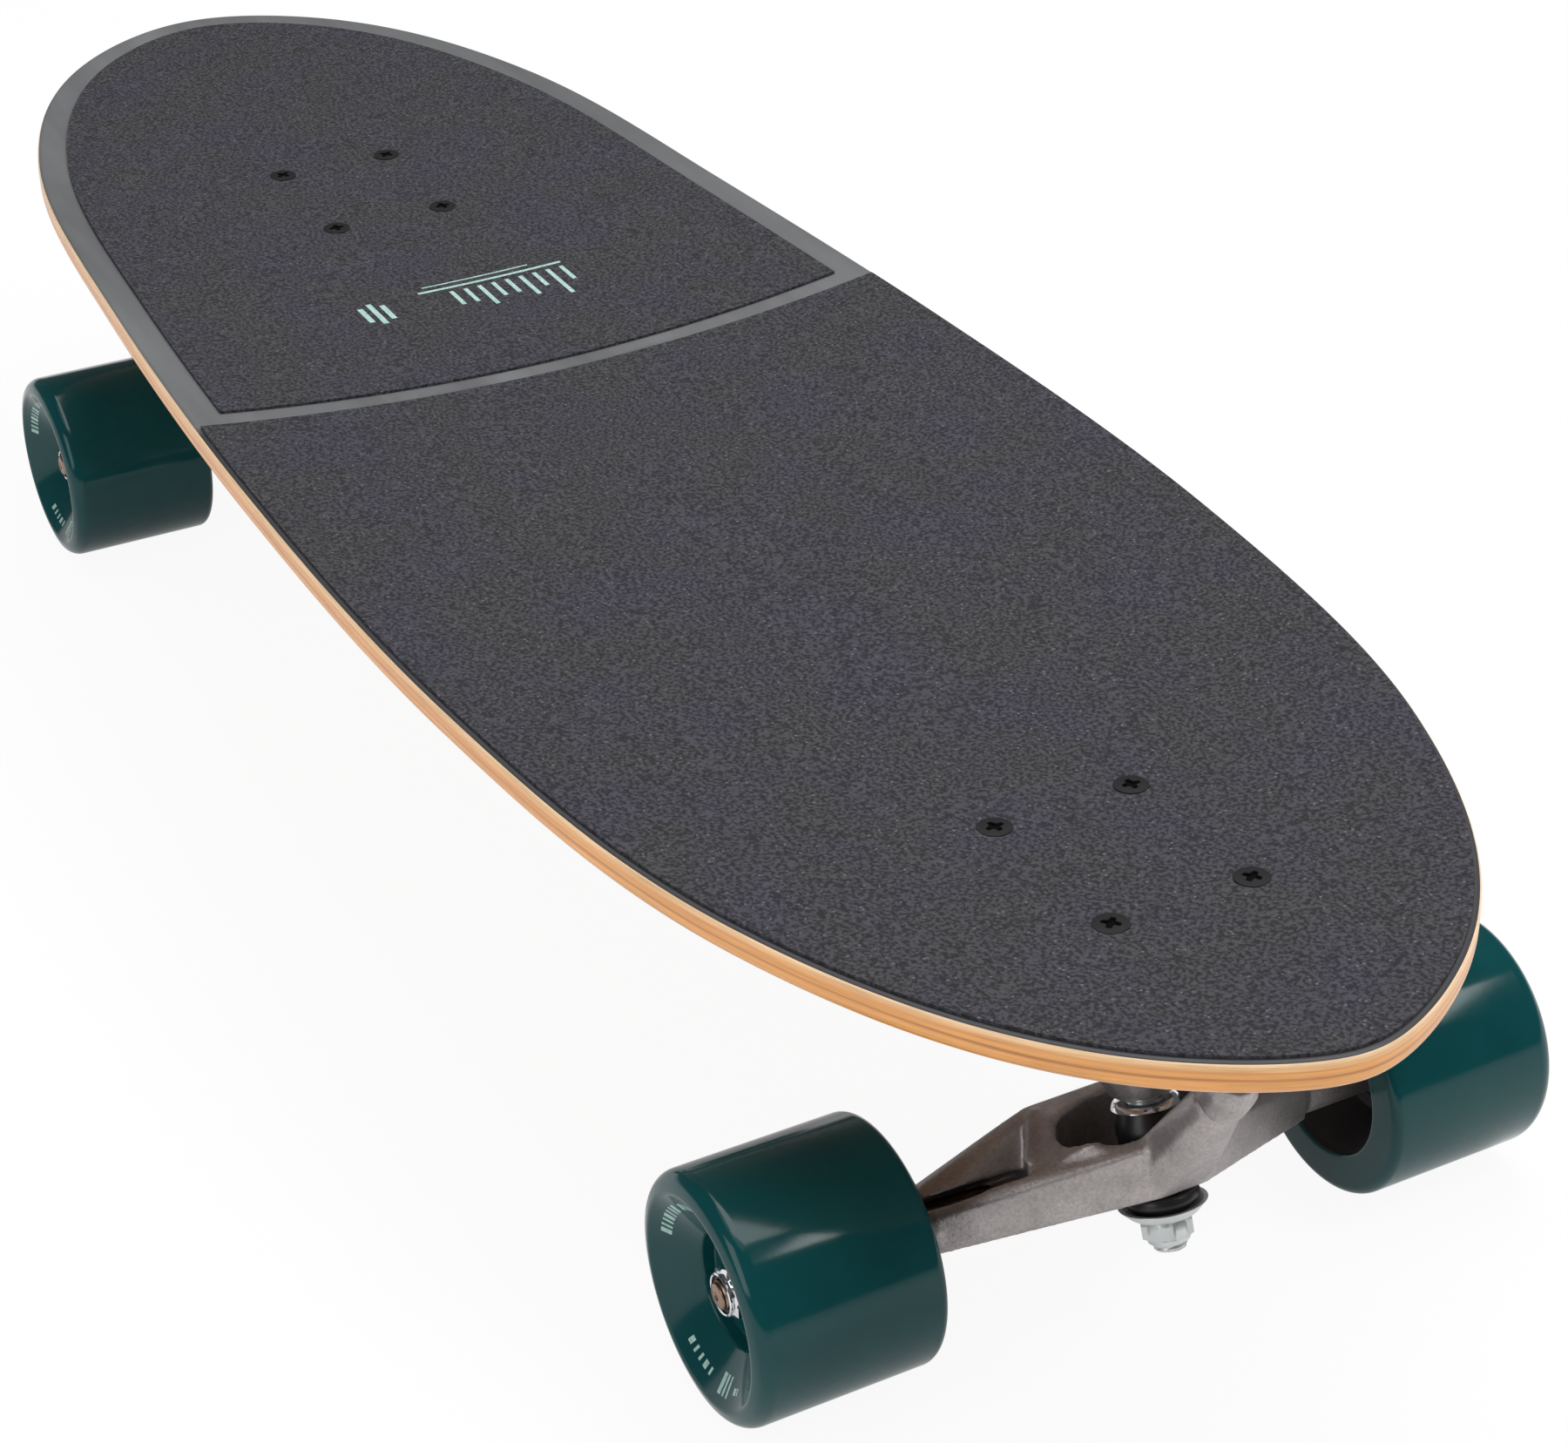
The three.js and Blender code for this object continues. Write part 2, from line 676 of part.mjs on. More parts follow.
function kingpinNutBody() {
  const flats = hexPrism(kingpinNutAcrossFlats, kingpinNutHeight);
  const corner = kingpinNutAcrossFlats / 2 / Math.cos(hexAngle);
  const collar = turned([
    [0, 0], [kingpinNutAcrossFlats / 2 * 0.8, 0], [corner, kingpinNutHeight * 0.3],
    [corner, kingpinNutHeight], [0, kingpinNutHeight],
  ], 12);
  const hole = rod(kingpinRadius + seatGap, -cutOverrun, kingpinNutHeight + cutOverrun);
  const nut = flats.intersect(collar).subtract(hole);
  return shifted(nut, 0, 0, -roadWasherDepth - seatGap - kingpinNutHeight);
}

// Cup washers: a dished floor with a flared wall round the bushing's end
function cupWasherBody(rimRadius, floorRadius, depth) {
  const hole = kingpinRadius + seatGap;
  const floor = depth - washerWall;
  return turned([
    [hole, -depth], [floorRadius, -depth], [rimRadius, 0], [rimRadius - washerWall, 0],
    [floorRadius - washerWall, -floor], [hole, -floor], [hole, -depth],
  ], 16);
}

function roadBushingBody() {
  const hole = kingpinRadius + seatGap;
  const bottom = -roadWasherDepth + washerWall + seatGap;
  const low = roadWasherFloorRadius - washerWall - seatGap;
  const wide = roadWasherRadius - washerWall - 2 * seatGap;
  return turned([
    [hole, bottom], [low, bottom], [wide, 0], [wide, roadBushingRise / 2],
    [roadBushingTopRadius, roadBushingRise], [hole, roadBushingRise], [hole, bottom],
  ], 12);
}

function boardBushingBody(places) {
  const hole = kingpinRadius + seatGap;
  const bottom = places.webTop + bushingGap;
  const top = bottom + boardBushingHeight + boardWasherDepth - washerWall - seatGap;
  const neck = boardWasherRadius - washerWall - 3 * seatGap;
  return turned([
    [hole, bottom], [boardBushingRadius, bottom], [boardBushingRadius, bottom + boardBushingHeight / 3],
    [boardBushingWaistRadius, bottom + boardBushingHeight / 2],
    [boardBushingRadius, bottom + boardBushingHeight * 2 / 3],
    [neck, bottom + boardBushingHeight - seatGap], [neck - seatGap, top], [hole, top], [hole, bottom],
  ], 12);
}

// Hanger: two arms that deepen toward the middle, a web that the kingpin passes through,
// and a neck up to the pivot nose

function castCorners(truck, cornerShares, side) {
  const { axle } = truck.places;
  return cornerShares.map(([out, reach, rise]) => new THREE.Vector3(
    axle.x + reach * truck.bodyReach, side * out * armEndHalfWidth, axle.z + rise * truck.bodyRise,
  ));
}

function onBothSides(truck, cornerShares) {
  return [-1, 1].flatMap((side) => castCorners(truck, cornerShares, side));
}

// The tube that the axle runs in, thicker between the arms' ends
function barrelBody(axle) {
  const wide = [-1, 1].flatMap((side) => barrelPoints(axle, armEndRadius, side * armEndHalfWidth));
  const slim = [-1, 1].flatMap((side) => barrelPoints(axle, barrelRadius, side * hangerHalfWidth));
  return hull(wide).add(hull(slim));
}

function noseBody(places) {
  const tip = pivotNoseRadius * 0.8;
  const shape = turned([
    [0, -housingMouth - housingRadius], [pivotNoseRadius, -housingMouth - housingRadius],
    [pivotNoseRadius, tip / 4], [pivotNoseRadius * 0.7, tip], [0, tip],
  ], 12);
  return placed(shape, places.pivotFrame);
}

function neckTopPoints(places) {
  const height = -housingMouth - runningGap;
  return [
    ...discPoints(places.pivotFrame, neckRadius * 0.8, height),
    ...discPoints(places.pivotFrame, neckRadius, height - neckRadius / 4),
  ];
}

function frontHangerBody(truck) {
  const { places } = truck;
  let body = barrelBody(places.axle).add(hull(onBothSides(truck, frontBlockShares)));
  [-1, 1].forEach((side) => {
    const end = barrelPoints(places.axle, armEndRadius, side * armEndHalfWidth);
    body = body.add(hull([...end, ...castCorners(truck, frontArmShares, side)]));
    body = body.add(hull(castCorners(truck, frontRailShares, side)));
  });
  body = body.add(hull([...onBothSides(truck, frontFootShares), ...neckTopPoints(places)]));
  const cuts = pocketBody(truck).add(kingpinRoomBody(places)).add(axleBore(places.axle));
  return body.add(noseBody(places)).subtract(cuts);
}

// The oval pocket that the board-side bushing stands in
function pocketBody(truck) {
  const halfLength = (truck.pocketInboard + truck.pocketOutboard) / 2;
  const oval = new THREE.Shape();
  oval.absellipse(0, 0, halfLength, truck.pocketHalfWidth, 0, 2 * Math.PI);
  const options = { depth: truck.pivotRise, bevelEnabled: false, curveSegments: 9 };
  const pocket = solid(new THREE.ExtrudeGeometry(oval, options));
  const offset = halfLength - truck.pocketInboard;
  return placed(shifted(pocket, offset, 0, truck.places.webTop), truck.places.kingpinFrame);
}

// Room round the kingpin: the web's hole, the cup washer below it and the bushing above it
function kingpinRoomBody(places) {
  const washerRoom = roadWasherRadius + cutOverrun;
  const bushingRoom = boardBushingRadius + cutOverrun;
  const shape = turned([
    [0, -roadWasherRadius * 2], [washerRoom, -roadWasherRadius * 2], [washerRoom, places.webBottom],
    [kingpinHoleRadius, places.webBottom], [kingpinHoleRadius, places.webTop],
    [bushingRoom, places.webTop], [bushingRoom, places.boardWasherRim],
    [0, places.boardWasherRim],
  ], 14);
  return placed(shape, places.kingpinFrame);
}

function rearHangerBody(truck) {
  const { places } = truck;
  let body = barrelBody(places.axle).add(hull(onBothSides(truck, rearArmShares)));
  [-1, 1].forEach((side) => {
    const end = barrelPoints(places.axle, armEndRadius, side * armEndHalfWidth);
    body = body.add(hull([...end, ...castCorners(truck, rearArmShares, side)]));
  });
  const web = [places.webBottom, places.webTop]
    .flatMap((height) => discPoints(places.kingpinFrame, webRadius, height));
  const bridge = [-1, 1].flatMap((side) => barrelPoints(places.axle, barrelRadius, side * webRadius));
  body = body.add(hull([...web, ...bridge]));
  body = body.add(hull([...onBothSides(truck, rearFootShares), ...neckTopPoints(places)]));
  return body.add(noseBody(places)).subtract(kingpinRoomBody(places)).subtract(axleBore(places.axle));
}

function axleBore(axle) {
  const bore = rod(axleRadius + seatGap, -hangerHalfWidth - cutOverrun, hangerHalfWidth + cutOverrun);
  const across = new THREE.Matrix4().makeRotationX(Math.PI / 2).setPosition(axle);
  return placed(bore, across);
}

function axleBody() {
  const end = axleHalfLength;
  const chamfer = axleRadius * 0.25;
  return turned([
    [0, -end], [axleRadius - chamfer, -end], [axleRadius, -end + chamfer],
    [axleRadius, end - chamfer], [axleRadius - chamfer, end], [0, end],
  ], 12);
}

// Wheel: a lathe profile from the inner face, over the tread, to the dished outer face
function wheelBody() {
  const outer = wheelWidth / 2;
  const inner = -wheelWidth / 2;
  const tread = wheelRadius / Math.cos(Math.PI / wheelSides);
  const edge = wheelEdgeRadius;
  const bend = edge * (1 - Math.SQRT1_2);
  const outerSeat = outer - outerBearingInset;
  const innerSeat = outerSeat - bearingWidth - bearingSpacing - bearingWidth;
  const bore = bearingRadius + seatGap;
  const web = bearingOuterRingRadius;
  const lip = tread - edge - outerLipWidth;
  const innerLip = tread - edge - innerLipWidth;
  return turned([
    [web, outerSeat - bearingWidth - seatGap], [bore, outerSeat - bearingWidth - seatGap],
    [bore, outerSeat + seatGap], [outerRecessRadius, outer - outerDishDepth],
    [lip - outerLipWidth, outer - outerDishDepth * 0.42], [lip, outer],
    [tread - edge, outer], [tread - bend, outer - bend], [tread, outer - edge],
    [tread, inner + edge], [tread - bend, inner + bend], [tread - edge, inner],
    [innerLip, inner],
    [innerRecessRadius + outerLipWidth, inner + innerDishDepth],
    [innerRecessRadius, innerSeat - seatGap], [bore, innerSeat - seatGap],
    [bore, innerSeat + bearingWidth + seatGap], [web, innerSeat + bearingWidth + seatGap],
    [web, outerSeat - bearingWidth - seatGap],
  ].reverse(), wheelSides);
}

// Bearing: both races and the shield between them, set back on the outward face
function bearingBody() {
  const half = bearingWidth / 2;
  const shield = half - bearingShieldInset;
  const bore = bearingBoreRadius + runningGap;
  return turned([
    [bore, -half], [bearingRadius, -half], [bearingRadius, half], [bearingOuterRingRadius, half],
    [bearingOuterRingRadius, shield], [bearingInnerRingRadius, shield],
    [bearingInnerRingRadius, half], [bore, half], [bore, -half],
  ], 12);
}

function axleNutBody() {
  const body = hexPrism(axleNutAcrossFlats, axleNutThickness);
  const hole = rod(axleRadius + seatGap, -cutOverrun, axleNutThickness + cutOverrun);
  return body.subtract(hole);
}

function speedWasherBody() {
  const hole = axleRadius + seatGap;
  return turned([
    [hole, 0], [speedWasherRadius, 0], [speedWasherRadius, speedWasherThickness],
    [hole, speedWasherThickness], [hole, 0],
  ], 12);
}

// Deck and grip, with the bolt holes cut where each truck's bolts pass

function placementOf(group, shiftX, shiftY) {
  group.updateWorldMatrix(true, false);
  return group.matrixWorld.clone().multiply(new THREE.Matrix4().makeTranslation(shiftX, shiftY, 0));
}

function buildDeckAndGrip(frames) {
  let deck = deckBody();
  let frontSheet = sheetBody(gripGrid(noseX - gripEdgeInset, gripEdgeInset, bandWidth / 2));
  let rearPad = sheetBody(gripGrid(tailX + padEdgeInset, padEdgeInset, -bandWidth / 2));
  const clearance = boltClearanceBody();
  frames.forEach((frame, i) => boltPlaces().forEach((place) => {
    const hole = placed(clearance, placementOf(frame, place.x, place.y));
    deck = deck.subtract(hole);
    if (i === 0) frontSheet = frontSheet.subtract(hole);
    else rearPad = rearPad.subtract(hole);
  }));
  addPiece('deck', deck, 'deck');
  addPiece('grip_sheet_front', frontSheet, 'grip');
  addPiece('grip_pad_rear', rearPad, 'grip');
}

function buildTruck(truck, frame) {
  const places = truckPlaces(truck);
  truck.places = places;
  const label = truck.name;
  boltPlaces().forEach((place) => {
    const corner = `${place.along > 0 ? 'outer' : 'inner'}_${place.across > 0 ? 'a' : 'b'}`;
    const bolt = addPiece(`${label}_deck_bolt_${corner}`, deckBoltBody(), 'blackSteel', frame);
    bolt.position.set(place.x, place.y, 0);
    const nut = addPiece(`${label}_deck_nut_${corner}`, deckNutBody(), 'blackSteel', frame);
    nut.position.set(place.x, place.y, 0);
  });
  addPiece(`${label}_baseplate`, baseplateBody(places), 'castMetal', frame);
  addPiece(`${label}_pivot_cup`, placed(pivotCupBody(), places.pivotFrame), 'cup', frame);
  const onKingpin = (name, shape, look) => {
    addPiece(`${label}_${name}`, placed(shape, places.kingpinFrame), look, frame);
  };
  onKingpin('kingpin', kingpinBody(places), 'zinc');
  onKingpin('kingpin_nut', kingpinNutBody(), 'zinc');
  onKingpin('washer_road', cupWasherBody(roadWasherRadius, roadWasherFloorRadius, roadWasherDepth), 'zinc');
  const flipped = placed(
    cupWasherBody(boardWasherRadius, boardWasherRadius - washerWall, boardWasherDepth),
    new THREE.Matrix4().makeRotationX(Math.PI).setPosition(0, 0, places.boardWasherRim),
  );
  onKingpin('washer_board', flipped, 'chrome');
  onKingpin('bushing_road', roadBushingBody(), 'bushing');
  onKingpin('bushing_board', boardBushingBody(places), 'bushing');
  const hanger = truck === frontTruck ? frontHangerBody(truck) : rearHangerBody(truck);
  addPiece(`${label}_hanger`, hanger, 'castMetal', frame);
  const across = new THREE.Matrix4().makeRotationX(-Math.PI / 2).setPosition(places.axle);
  addPiece(`${label}_axle`, placed(axleBody(), across), 'axleSteel', frame);
  return places;
}

// Wheels, bearings and end hardware stand square to the ground on each axle line
function buildWheels(truck, frame, places) {
  const centre = places.axle.clone().applyMatrix4(frame.matrixWorld);
  const wheelCentre = wheelOuterFace - wheelWidth / 2;
  const outerFace = wheelOuterFace - outerBearingInset;
  const outerBearing = outerFace - bearingWidth / 2;
  const innerBearing = outerBearing - bearingWidth - bearingSpacing;
  const facetTurn = Math.PI / wheelSides;
  ['left', 'right'].forEach((side) => {
    const label = `${truck.name}_${side}`;
    const sign = side === 'left' ? 1 : -1;
    const outward = new THREE.Matrix4().makeRotationX(-sign * Math.PI / 2);
    const put = (name, shape, look, reach, spin = 0) => {
      const matrix = new THREE.Matrix4().makeTranslation(centre.x, sign * reach, centre.z)
        .multiply(outward).multiply(new THREE.Matrix4().makeRotationZ(spin));
      addPiece(name, placed(shape, matrix), look);
    };
    put(`${label}_wheel`, wheelBody(), 'urethane', wheelCentre, facetTurn);
    put(`${label}_bearing_outer`, bearingBody(), 'chrome', outerBearing);
    put(`${label}_bearing_inner`, bearingBody(), 'chrome', innerBearing);
    const washerAt = outerFace + seatGap;
    put(`${label}_speed_washer`, speedWasherBody(), 'zinc', washerAt);
    put(`${label}_axle_nut`, axleNutBody(), 'zinc', washerAt + speedWasherThickness + seatGap);
  });
}

const trucks = [frontTruck, rearTruck];
const frames = trucks.map(truckFrame);
buildDeckAndGrip(frames);
trucks.forEach((truck, i) => buildWheels(truck, frames[i], buildTruck(truck, frames[i])));

export default board;
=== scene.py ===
import math

import bmesh
import bpy
import numpy as np
from mathutils import Matrix


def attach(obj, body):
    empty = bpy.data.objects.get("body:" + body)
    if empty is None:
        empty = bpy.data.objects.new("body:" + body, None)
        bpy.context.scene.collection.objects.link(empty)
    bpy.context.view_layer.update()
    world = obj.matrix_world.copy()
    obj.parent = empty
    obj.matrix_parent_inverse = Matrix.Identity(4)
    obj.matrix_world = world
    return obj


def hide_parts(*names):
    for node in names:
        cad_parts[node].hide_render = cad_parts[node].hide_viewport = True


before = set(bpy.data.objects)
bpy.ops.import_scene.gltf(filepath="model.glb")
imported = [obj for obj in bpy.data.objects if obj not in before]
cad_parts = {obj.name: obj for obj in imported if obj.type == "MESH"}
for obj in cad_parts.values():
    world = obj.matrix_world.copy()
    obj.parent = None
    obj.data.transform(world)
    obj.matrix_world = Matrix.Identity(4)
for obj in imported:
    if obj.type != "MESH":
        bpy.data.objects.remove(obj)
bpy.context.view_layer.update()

print("surf skateboard: frame loaded,", len(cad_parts), "solids")

# the camera's place in metres and its three directions, as the photograph was taken
cameraLook = dict(
    place=(0.871866, -0.39222, 0.57919),
    right=(0.470449, 0.882213, -0.018790),
    up=(-0.442875, 0.254470, 0.859712),
    back=(0.763243, -0.396123, 0.510433),
    lens=75.405, sensor=36, nearest=0.02,
)
meshLimits = dict(cornerShare=0.47, merge=2e-6, sliver=1e-7)


def link(name, data):
    made = bpy.data.objects.new(name, data)
    bpy.context.scene.collection.objects.link(made)
    return made


def makeCamera():
    look = cameraLook
    data = bpy.data.cameras.new("camera")
    data.lens, data.sensor_width, data.clip_start = look["lens"], look["sensor"], look["nearest"]
    camera = link("camera", data)
    turn = Matrix((look["right"], look["up"], look["back"])).transposed()
    camera.matrix_world = Matrix.Translation(look["place"]) @ turn.to_quaternion().to_matrix().to_4x4()
    bpy.context.scene.camera = camera


makeCamera()


# tools for surfaces

def gridFaces(rows, columns, wrapRows=False, wrapColumns=False):
    # face (i, j) joins the four neighbours i, i+1 and j, j+1, round the ends where wrapped
    i = np.arange(rows if wrapRows else rows - 1)[:, None]
    j = np.arange(columns if wrapColumns else columns - 1)[None, :]
    nextI, nextJ = (i + 1) % rows, (j + 1) % columns
    corners = [i * columns + j, i * columns + nextJ, nextI * columns + nextJ, nextI * columns + j]
    return np.stack([c + 0 * corners[0] for c in corners], -1).reshape(-1, 4)


def softened(profile, radius, steps=4, closed=False):
    # each corner becomes a parabola that starts and ends one radius away from it
    p = np.asarray(profile, float)
    if closed:
        before, corner, after = np.roll(p, 1, 0), p, np.roll(p, -1, 0)
    else:
        before, corner, after = p[:-2], p[1:-1], p[2:]
    a, b = before - corner, after - corner
    lengthA = np.linalg.norm(a, axis=1, keepdims=True)
    lengthB = np.linalg.norm(b, axis=1, keepdims=True)
    reach = np.broadcast_to(np.asarray(radius, float).reshape(-1, 1), (len(corner), 1))
    start = corner + a / lengthA * np.minimum(reach, lengthA * meshLimits["cornerShare"])
    end = corner + b / lengthB * np.minimum(reach, lengthB * meshLimits["cornerShare"])
    s = np.linspace(0, 1, steps)[:, None, None]
    arcs = (1 - s) ** 2 * start + 2 * s * (1 - s) * corner + s ** 2 * end
    middle = arcs.transpose(1, 0, 2).reshape(-1, 2)
    return middle if closed else np.vstack([p[:1], middle, p[-1:]])


def unit(vector):
    vector = np.asarray(vector, float)
    return vector / np.linalg.norm(vector)


def roundTurn(sides, start=0.0):
    return start + np.linspace(0, 2 * np.pi, sides, endpoint=False)


class Stand:
    # a place with three square directions, which carries local points into the board's frame
    def __init__(self, origin, axis, ahead):
        self.origin = np.asarray(origin, float)
        self.axis = unit(axis)
        self.ahead = unit(np.asarray(ahead, float) - np.dot(ahead, self.axis) * self.axis)
        self.side = np.cross(self.axis, self.ahead)

    def at(self, x, y, z):
        x, y, z = (np.asarray(v, float)[..., None] for v in (x, y, z))
        return self.origin + x * self.ahead + y * self.side + z * self.axis

    def around(self, radius, angle, height):
        return self.at(radius * np.cos(angle), radius * np.sin(angle), height + 0 * angle)

    def flipped(self, height=0.0):
        # the stand that looks back down the axis from a height on it
        return Stand(self.origin + self.axis * height, -self.axis, self.ahead)


def patch(*coordinates):
    # an open surface from x, y and z arrays, or from one grid of points
    grid = coordinates[0] if len(coordinates) == 1 else np.stack(np.broadcast_arrays(*coordinates), -1)
    return grid, False, False, 0


def shell(grid, closed=False, number=0):
    # a surface that joins up round its axis, and along its profile too where closed
    return grid, closed, True, number


def turned(profile, stand, sides=96, startAngle=0.0, closed=False, number=0):
    # a [radius, height] profile carried once round the stand's axis
    radius, height = np.asarray(profile, float).T[..., None]
    angle = roundTurn(sides, startAngle)
    return shell(stand.around(radius, angle, height), closed, number)


def hexTurned(profile, stand, acrossFlats, sides=96):
    # turned, cut to a hexagon: radius = min(profile, flats/2 / cos(angle to flat))
    radius, height = np.asarray(profile, float).T[..., None]
    angle = roundTurn(sides)
    fromFlat = (angle + np.pi / 6) % (np.pi / 3) - np.pi / 6
    reach = np.minimum(radius, acrossFlats / 2 / np.cos(fromFlat))
    return shell(stand.around(reach, angle, height))


def threaded(radius, bottom, top, pitch, depth, stand, sides=32, perTurn=8):
    # a wave once per turn: depth * |2 * fraction(height/pitch - angle/turn) - 1| off the radius
    rows = max(2, int((top - bottom) / pitch * perTurn))
    height = np.linspace(bottom, top, rows)[:, None]
    angle = roundTurn(sides)[None, :]
    wave = np.abs(2 * ((height / pitch - angle / (2 * np.pi)) % 1) - 1)
    fade = np.clip(np.minimum(height - bottom, top - height) / pitch, 0, 1)
    reach = radius - depth * (1 - wave) - depth * (1 - fade)
    return shell(stand.around(reach, angle, height))


def makePiece(name, surfaces, finishes, node=None, body="board", sharpAngle=35,
        attributes=None):
    # surfaces: [points grid, wrap rows, wrap columns, finish number or one per row]
    points, faces, numbers, start = [], [], [], 0
    for grid, wrapRows, wrapColumns, number in surfaces:
        rows, columns = grid.shape[:2]
        points.append(grid.reshape(-1, 3))
        faces.append(gridFaces(rows, columns, wrapRows, wrapColumns) + start)
        perRow = np.broadcast_to(np.asarray(number), (rows if wrapRows else rows - 1,))
        numbers.append(np.repeat(perRow, columns if wrapColumns else columns - 1))
        start += rows * columns
    mesh = bpy.data.meshes.new(name)
    mesh.from_pydata(np.vstack(points), [], np.vstack(faces).tolist())
    mesh.polygons.foreach_set("material_index", np.concatenate(numbers).astype(np.int32))
    for label, values in (attributes or {}).items():
        layer = mesh.attributes.new(label, "FLOAT", "POINT")
        layer.data.foreach_set("value", np.asarray(values, np.float32).ravel())
    finishPiece(name, mesh, finishes, node, body, sharpAngle)


def faceOutward(mesh, mergeFirst=True):
    work = bmesh.new()
    work.from_mesh(mesh)
    if mergeFirst:
        bmesh.ops.remove_doubles(work, verts=work.verts, dist=meshLimits["merge"])
        bmesh.ops.dissolve_degenerate(work, edges=work.edges, dist=meshLimits["sliver"])
    bmesh.ops.recalc_face_normals(work, faces=work.faces)
    work.to_mesh(mesh)
    work.free()
    return mesh


def finishPiece(name, mesh, finishes, node, body, sharpAngle):
    faceOutward(mesh)
    mesh.polygons.foreach_set("use_smooth", np.ones(len(mesh.polygons), bool))
    mesh.set_sharp_from_angle(angle=math.radians(sharpAngle))
    for finish in finishes:
        mesh.materials.append(finish.material)
    piece = link(name, mesh)
    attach(piece, body)
    if node:
        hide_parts(node)


class Nodes:
    # short ways to add nodes to a tree
    def __init__(self, tree):
        self.tree = tree

    def node(self, kind, **values):
        made = self.tree.nodes.new("ShaderNode" + kind)
        for key, value in values.items():
            if hasattr(made, key):
                setattr(made, key, value)
            else:
                self.put(made.inputs[key.replace("_", " ")], value)
        return made

    def put(self, socket, value):
        if isinstance(value, bpy.types.NodeSocket):
            self.tree.links.new(value, socket)
        else:
            socket.default_value = value

    def ramp(self, value, stops):
        made = self.node("ValToRGB", Fac=value)
        elements = made.color_ramp.elements
        while len(elements) < len(stops):
            elements.new(0.5)
        for element, (position, color) in zip(elements, stops):
            element.position = position
            element.color = (*color, 1)
        return made.outputs["Color"]

    def span(self, value, low, high):
        made = self.node("MapRange", Value=value, To_Min=low, To_Max=high)
        return made.outputs["Result"]

    def mix(self, factor, first, second, blend="MIX"):
        made = self.node("Mix", data_type="RGBA", blend_type=blend)
        self.put(made.inputs["Factor"], factor)
        for socket, value in ((made.inputs[6], first), (made.inputs[7], second)):
            self.put(socket, (*value, 1) if isinstance(value, tuple) else value)
        return made.outputs[2]

    def math(self, operation, first, second):
        made = self.node("Math", operation=operation)
        self.put(made.inputs[0], first)
        self.put(made.inputs[1], second)
        return made.outputs[0]


class Finish(Nodes):
    def __init__(self, name, color, roughness, metallic=0.0):
        self.material = bpy.data.materials.new(name)
        self.material.use_nodes = True
        super().__init__(self.material.node_tree)
        self.shader = self.tree.nodes["Principled BSDF"]
        self.fix("Base Color", (*color, 1))
        self.fix("Roughness", roughness)
        self.fix("Metallic", metallic)
        self.place = self.node("TexCoord").outputs["Object"]

    def fix(self, label, value):
        # a link, or a value that is the same all over
        self.put(self.shader.inputs[label], value)

    def attribute(self, label):
        return self.node("Attribute", attribute_name=label).outputs["Fac"]

    def noise(self, scale, detail=2.0, stretch=(1, 1, 1), roughness=0.5):
        mapped = self.node("Mapping", Vector=self.place, Scale=stretch)
        made = self.node("TexNoise", Scale=scale, Detail=detail, Roughness=roughness,
            Vector=mapped.outputs["Vector"])
        return made.outputs["Fac"]

    def dress(self, look, color, glossBy, bumpBy):
        # a colour, a gloss that runs between the look's two values, a bump and the look's fixed values
        strength, depth = look["bump"]
        bump = self.node("Bump", Strength=strength, Distance=depth, Height=bumpBy)
        self.fix("Base Color", color)
        self.fix("Roughness", self.span(glossBy, *look["gloss"]))
        self.fix("Normal", bump.outputs["Normal"])
        for label, value in look.get("fixed", {}).items():
            self.fix(label, value)


# finishes: scales are per metre, bump is its strength and its depth in metres

gripLook = dict(
    grain=860, tones=[(0.40, (0.0205, 0.0200, 0.0228)), (0.61, (0.0605, 0.0592, 0.0672))],
    clouds=30, tints=[(0.38, (0.98, 1.0, 0.94)), (0.62, (0.98, 0.955, 1.09))],
    sparkles=900, rarity=0.965, sparkleSize=0.36, sparkle=(0.105, 0.105, 0.115),
    gloss=(0.92, 0.6), bump=(0.55, 0.0005), fixed={"Specular IOR Level": 0.3},
)
grip = Finish("charcoalGrit", (0.07, 0.07, 0.08), 0.9)
grain = grip.noise(gripLook["grain"], 1.5, roughness=0.6)
clouds = grip.noise(gripLook["clouds"], 3)
base = grip.mix(1.0, grip.ramp(grain, gripLook["tones"]), grip.ramp(clouds, gripLook["tints"]), "MULTIPLY")
# rare grit specks are glossier and lighter; the lighter colour is a painted glint
cells = grip.node("TexVoronoi", Scale=gripLook["sparkles"], Vector=grip.place)
lot = grip.node("SeparateColor", Color=cells.outputs["Color"]).outputs[0]
glint = grip.math("MULTIPLY", grip.math("GREATER_THAN", lot, gripLook["rarity"]),
    grip.math("LESS_THAN", cells.outputs["Distance"], gripLook["sparkleSize"]))
grip.dress(gripLook, grip.mix(glint, base, gripLook["sparkle"]), glint, grain)

paintLook = dict(
    streaks=40, stretch=(0.12, 1, 1), tones=[(0.3, (0.092, 0.094, 0.097)), (0.7, (0.150, 0.153, 0.156))],
    rimPaintAndShadeColor=(0.040, 0.040, 0.044), clouds=90, gloss=(0.42, 0.62), bump=(0.12, 0.0004),
)
paint = Finish("greyDeckPaint", (0.10, 0.101, 0.106), 0.5)
streaks = paint.noise(paintLook["streaks"], 4, paintLook["stretch"], 0.6)
# ahead of the band the top is darker: partly the deck's darker paint there, partly painted shade that keeps
# the rounded rim from catching light
painted = paint.mix(paint.attribute("rimPaintAndShade"), paint.ramp(streaks, paintLook["tones"]),
    paintLook["rimPaintAndShadeColor"])
paint.dress(paintLook, painted, paint.noise(paintLook["clouds"], 3), streaks)

